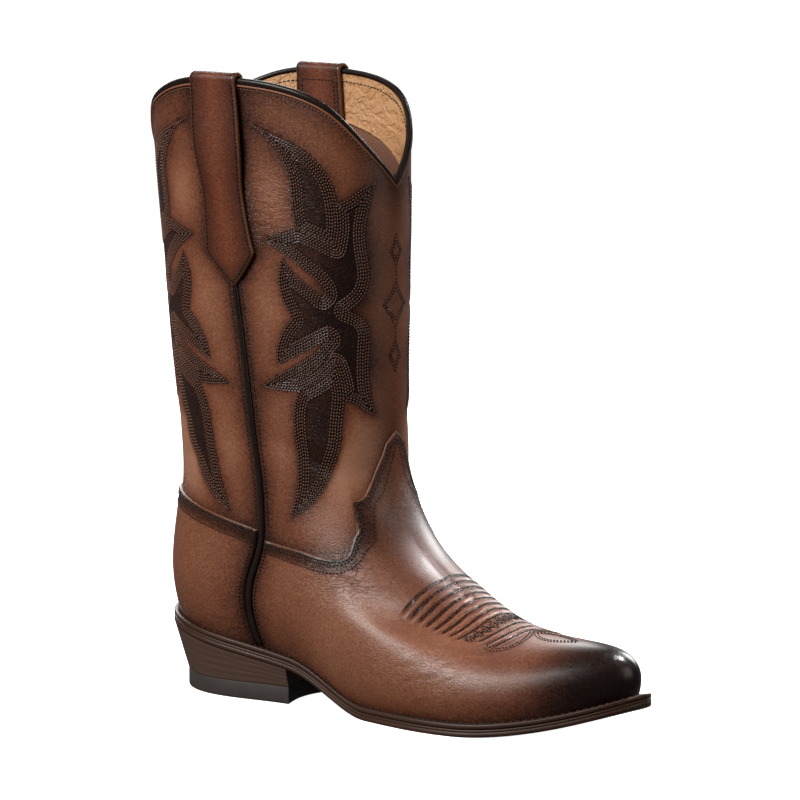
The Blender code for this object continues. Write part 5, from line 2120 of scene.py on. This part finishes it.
class BootColours(bpy.types.PropertyGroup):
    """Colours of the boot's materials, as linear values."""

    # The palest leather shows in the shaft's lighter places: worn leather and painted sheen
    leather_pale: colour_property("Leather Pale", "Most worn places of the leather", (0.3, 0.14, 0.085))
    leather_light: colour_property("Leather Light", "Lighter ground of the leather", (0.215, 0.087, 0.047))
    leather: colour_property("Leather", "Ground colour of the leather", (0.15, 0.05, 0.025))
    # The darker stops of the leather's ramp show burnish and the painted shade that the burnish mark carries
    leather_dark: colour_property("Leather Dark", "Burnished leather", (0.045, 0.0145, 0.008))
    leather_black: colour_property("Leather Black", "Darkest burnish", (0.0055, 0.0028, 0.0022))
    strap_light: colour_property("Strap Light", "Worn places of the straps", (0.2, 0.06, 0.025))
    strap: colour_property("Strap", "Ground colour of the straps", (0.075, 0.019, 0.009))
    raw_edge: colour_property("Raw Edge", "Cut edges of the leather", (0.22, 0.075, 0.03))
    binding: colour_property("Binding", "Collar binding and seam piping", (0.008, 0.005, 0.004))
    lining: colour_property("Lining", "Facing leather inside the collar", (0.52, 0.295, 0.148))
    # Lining Dark is also painted into the facing's creases as shade
    lining_dark: colour_property("Lining Dark", "Creases of the facing", (0.38, 0.18, 0.07))
    cloth: colour_property("Cloth", "Woven lining", (0.22, 0.078, 0.035))
    cloth_dark: colour_property("Cloth Dark", "Shade of the woven lining", (0.04, 0.014, 0.007))
    thread: colour_property("Thread", "Thread of vamp, seams, straps and welt", (0.008, 0.005, 0.004))
    # Leaf Thread is lighter than the thread's own dark brown: a painted highlight
    leaf_thread: colour_property("Leaf Thread", "Thread of the leaf motif", (0.22, 0.102, 0.069))
    tan_thread: colour_property("Tan Thread", "Thread of the row under the collar", (0.2, 0.095, 0.055))
    sole: colour_property("Sole", "Edge of outsole and welt", (0.066, 0.029, 0.017))
    sole_dark: colour_property("Sole Dark", "Shade of the sole's edge", (0.019, 0.009, 0.006))
    heel: colour_property("Heel", "Edge of the stacked heel", (0.1, 0.057, 0.041))
    heel_dark: colour_property("Heel Dark", "Shade of the stacked heel", (0.044, 0.025, 0.018))
    rubber: colour_property("Rubber", "Heel cap", (0.045, 0.036, 0.031))
    rubber_dark: colour_property("Rubber Dark", "Shade of the heel cap", (0.026, 0.021, 0.019))
    floor: colour_property("Floor", "Stage floor", (0.92, 0.92, 0.92))


def angle_property(name, description, degrees):
    """An angle that a user may change."""
    return FloatProperty(name=name, description=description, default=np.radians(degrees), subtype="ANGLE")


def strength_property(name, description, default):
    """A light's strength that a user may change."""
    return FloatProperty(name=name, description=description, default=default, min=0)


class BootStage(bpy.types.PropertyGroup):
    """Camera and light of the stage."""

    azimuth: angle_property("Azimuth", "Turn of the camera", 38.81)
    elevation: angle_property("Elevation", "Rise of the camera", 7.44)
    distance: length_property("Distance", "Camera to target", 3.0)
    lens: FloatProperty(name="Lens", description="Focal length in millimetres", default=264.63)
    sky: strength_property("Sky", "Strength of the even light", 0.07)
    key: strength_property("Key", "Power of the key light in watts", 60.0)
    rim: strength_property("Rim", "Power of the light behind in watts", 12.0)
    crown: strength_property("Crown", "Power of the light above the toe in watts", 0.3)
    far: strength_property("Far", "Power of the light on the far side in watts", 30.0)
    side: strength_property("Side", "Power of the side light in watts", 9.0)


class BOOT_OT_shaft(bpy.types.Operator):
    """Dress the shaft in burnished leather"""

    bl_idname = "boot.shaft"
    bl_label = "Shaft"

    def execute(self, context):
        add_shaft(context)
        return {"FINISHED"}


class BOOT_OT_lining(bpy.types.Operator):
    """Line the shaft with cloth and a leather facing"""

    bl_idname = "boot.lining"
    bl_label = "Lining"

    def execute(self, context):
        add_lining(context)
        return {"FINISHED"}


class BOOT_OT_overlays(bpy.types.Operator):
    """Lay the vamp and the counter over the foot"""

    bl_idname = "boot.overlays"
    bl_label = "Vamp and Counter"

    def execute(self, context):
        add_vamp(context)
        add_counter(context)
        return {"FINISHED"}


class BOOT_OT_pipings(bpy.types.Operator):
    """Run the black bead down both side seams"""

    bl_idname = "boot.pipings"
    bl_label = "Seam Pipings"

    def execute(self, context):
        add_seam_piping(context, False)
        add_seam_piping(context, True)
        return {"FINISHED"}


class BOOT_OT_collar(bpy.types.Operator):
    """Bind the collar and set its bead"""

    bl_idname = "boot.collar"
    bl_label = "Collar"

    def execute(self, context):
        add_collar(context)
        return {"FINISHED"}


class BOOT_OT_straps(bpy.types.Operator):
    """Fold the two pull straps over the collar"""

    bl_idname = "boot.straps"
    bl_label = "Pull Straps"

    def execute(self, context):
        add_strap(context, False)
        add_strap(context, True)
        return {"FINISHED"}


class BOOT_OT_sole(bpy.types.Operator):
    """Build the outsole, the welt and the insole"""

    bl_idname = "boot.sole"
    bl_label = "Sole"

    def execute(self, context):
        add_sole(context)
        add_insole(context)
        return {"FINISHED"}


class BOOT_OT_heel(bpy.types.Operator):
    """Build the stacked heel and its cap"""

    bl_idname = "boot.heel"
    bl_label = "Heel"

    def execute(self, context):
        add_heel(context)
        return {"FINISHED"}


class BOOT_OT_shaft_stitches(bpy.types.Operator):
    """Sew the leaf motifs, the diamonds and the seams of the shaft"""

    bl_idname = "boot.shaft_stitches"
    bl_label = "Shaft Stitches"

    def execute(self, context):
        sizes = context.scene.boot_sizes
        material = shared(dark_thread, context.scene.boot_colours)
        pitch, width = sizes.stitch_pitch / MM, sizes.thread_width / MM
        leaf_material = shared(leaf_thread, context.scene.boot_colours)
        leaf_pitch = sizes.leaf_pitch / MM
        for inner in (False, True):
            name = side_name(inner) + "_leaf_stitches"
            add_stitches(name, leaf_runs(sizes, inner), leaf_pitch, width * 1.2, leaf_material, fill=0.7)
        add_stitches("diamond_stitches", diamond_runs(), pitch * 0.85, width * 1.25, material)
        add_stitches("seam_stitches", seam_runs(False) + seam_runs(True), pitch, width * 0.9, material)
        return {"FINISHED"}


class BOOT_OT_vamp_stitches(bpy.types.Operator):
    """Sew the vamp's rows and medallion and the edges of the overlays"""

    bl_idname = "boot.vamp_stitches"
    bl_label = "Vamp Stitches"

    def execute(self, context):
        sizes = context.scene.boot_sizes
        material = shared(dark_thread, context.scene.boot_colours)
        pitch, width = sizes.stitch_pitch / MM, sizes.thread_width / MM
        add_stitches("vamp_stitches", vamp_runs(), pitch * 0.9, width, material)
        add_stitches("overlay_stitches", overlay_runs(), pitch, width, material)
        return {"FINISHED"}


class BOOT_OT_trim_stitches(bpy.types.Operator):
    """Sew the straps, the collar and the welt"""

    bl_idname = "boot.trim_stitches"
    bl_label = "Trim Stitches"

    def execute(self, context):
        sizes = context.scene.boot_sizes
        colours = context.scene.boot_colours
        dark, tan = shared(dark_thread, colours), shared(tan_thread, colours)
        pitch, width = sizes.stitch_pitch / MM, sizes.thread_width / MM
        add_stitches("strap_stitches", strap_runs(False) + strap_runs(True), pitch, width, dark)
        outer, within = collar_runs()
        add_stitches("collar_stitches", outer, pitch, width, tan)
        add_stitches("facing_stitches", within, pitch * 1.3, width, dark)
        add_stitches("welt_stitches", welt_run(), sizes.welt_pitch / MM, 1.0, dark)
        return {"FINISHED"}


# Lights of the stage: place from the middle along the camera's axes in metres, size, colour, aim, spread
StageLight = namedtuple("StageLight", "name right up back width height colour aim spread")
STAGE_LIGHTS = (
    StageLight("key", -1.35, 1.1, 1.05, 1.1, 1.0, (1.0, 0.98, 0.95), CAMERA_TARGET, 180.0),
    StageLight("rim", 0.8, 0.72, -1.12, 0.45, 0.7, (1.0, 1.0, 1.0), CAMERA_TARGET, 180.0),
    StageLight("crown", 0.7, 1.24, -0.17, 0.36, 0.3, (1.0, 1.0, 1.0), TOE_PLACE, 6.0),
    StageLight("side", 1.6, 0.5, 0.9, 1.0, 1.2, (1.0, 0.86, 0.74), CAMERA_TARGET, 180.0),
    StageLight("far", -0.5, 1.0, -1.8, 1.3, 1.1, (1.0, 1.0, 1.0), CAMERA_TARGET, 180.0),
)


def add_area_light(light, place, power):
    """A soft light that faces its aim in the part's frame."""
    data = bpy.data.lights.new(light.name + "_light", "AREA")
    data.shape = "RECTANGLE"
    data.size, data.size_y = light.width, light.height
    data.energy = power
    data.color = light.colour
    data.spread = np.radians(light.spread)
    obj = bpy.data.objects.new(light.name + "_light", data)
    bpy.context.scene.collection.objects.link(obj)
    obj.location = place
    obj.rotation_euler = (Vector(light.aim) * MM - place).to_track_quat("-Z", "Y").to_euler()


class BOOT_OT_stage(bpy.types.Operator):
    """Set the floor, the light and the camera"""

    bl_idname = "boot.stage"
    bl_label = "Stage"

    def execute(self, context):
        stage = context.scene.boot_stage
        mesh = bpy.data.meshes.new("stage_floor")
        corners = [(FLOOR_REACH * x, FLOOR_REACH * y, 0) for x, y in ((-1, -1), (1, -1), (1, 1), (-1, 1))]
        mesh.from_pydata(corners, [], [(0, 1, 2, 3)])
        mesh.materials.append(shared(stage_paper, context.scene.boot_colours))
        floor = bpy.data.objects.new("stage_floor", mesh)
        context.scene.collection.objects.link(floor)
        floor.visible_diffuse = False
        floor.visible_glossy = False
        self.add_light(context, stage)
        self.add_camera(context, stage)
        return {"FINISHED"}

    def view_axes(self, stage):
        """Directions to the right, up and back of the camera."""
        turn, rise = stage.azimuth, stage.elevation
        right = Vector((np.cos(turn), np.sin(turn), 0))
        back = Vector((np.sin(turn) * np.cos(rise), -np.cos(turn) * np.cos(rise), np.sin(rise)))
        return right, back.cross(right), back

    def add_light(self, context, stage):
        """An even sky and the stage's lights."""
        world = bpy.data.worlds.new("stage_sky")
        world.use_nodes = True
        world.node_tree.nodes["Background"].inputs["Color"].default_value = (1, 1, 1, 1)
        world.node_tree.nodes["Background"].inputs["Strength"].default_value = stage.sky
        context.scene.world = world
        context.scene.view_settings.view_transform = "Standard"
        right, up, back = self.view_axes(stage)
        middle = Vector(CAMERA_TARGET) * MM
        for light in STAGE_LIGHTS:
            place = middle + right * light.right + up * light.up + back * light.back
            add_area_light(light, place, getattr(stage, light.name))

    def add_camera(self, context, stage):
        """The camera at the photograph's angle."""
        data = bpy.data.cameras.new("photo_camera")
        data.sensor_width = SENSOR_WIDTH
        data.lens = stage.lens
        data.clip_end = 100.0
        camera = bpy.data.objects.new("photo_camera", data)
        context.scene.collection.objects.link(camera)
        right, up, back = self.view_axes(stage)
        turn = Matrix((right, up, back)).transposed().to_4x4()
        place = Vector(CAMERA_TARGET) * MM + back * stage.distance
        camera.matrix_world = Matrix.Translation(place) @ turn
        context.scene.camera = camera


class BOOT_PT_panel(bpy.types.Panel):
    """Sizes, colours and pieces of the boot"""

    bl_idname = "BOOT_PT_panel"
    bl_label = "Western Boot"
    bl_space_type = "VIEW_3D"
    bl_region_type = "UI"
    bl_category = "Boot"

    def draw(self, context):
        for group in (context.scene.boot_sizes, context.scene.boot_colours, context.scene.boot_stage):
            box = self.layout.box()
            for key in group.__annotations__:
                box.prop(group, key)
        for operator in OPERATORS:
            self.layout.operator(operator.bl_idname)


OPERATORS = (
    BOOT_OT_shaft,
    BOOT_OT_lining,
    BOOT_OT_overlays,
    BOOT_OT_pipings,
    BOOT_OT_collar,
    BOOT_OT_straps,
    BOOT_OT_sole,
    BOOT_OT_heel,
    BOOT_OT_shaft_stitches,
    BOOT_OT_vamp_stitches,
    BOOT_OT_trim_stitches,
    BOOT_OT_stage,
)
CLASSES = (BootSizes, BootColours, BootStage, *OPERATORS, BOOT_PT_panel)


def register():
    for one in CLASSES:
        bpy.utils.register_class(one)
    bpy.types.Scene.boot_sizes = PointerProperty(type=BootSizes)
    bpy.types.Scene.boot_colours = PointerProperty(type=BootColours)
    bpy.types.Scene.boot_stage = PointerProperty(type=BootStage)


def unregister():
    del bpy.types.Scene.boot_stage
    del bpy.types.Scene.boot_colours
    del bpy.types.Scene.boot_sizes
    for one in reversed(CLASSES):
        bpy.utils.unregister_class(one)


def main():
    register()
    bpy.ops.boot.shaft()
    bpy.ops.boot.lining()
    bpy.ops.boot.overlays()
    bpy.ops.boot.pipings()
    bpy.ops.boot.collar()
    bpy.ops.boot.straps()
    bpy.ops.boot.sole()
    bpy.ops.boot.heel()
    bpy.ops.boot.shaft_stitches()
    bpy.ops.boot.vamp_stitches()
    bpy.ops.boot.trim_stitches()
    bpy.ops.boot.stage()


if __name__ == "__main__":
    main()
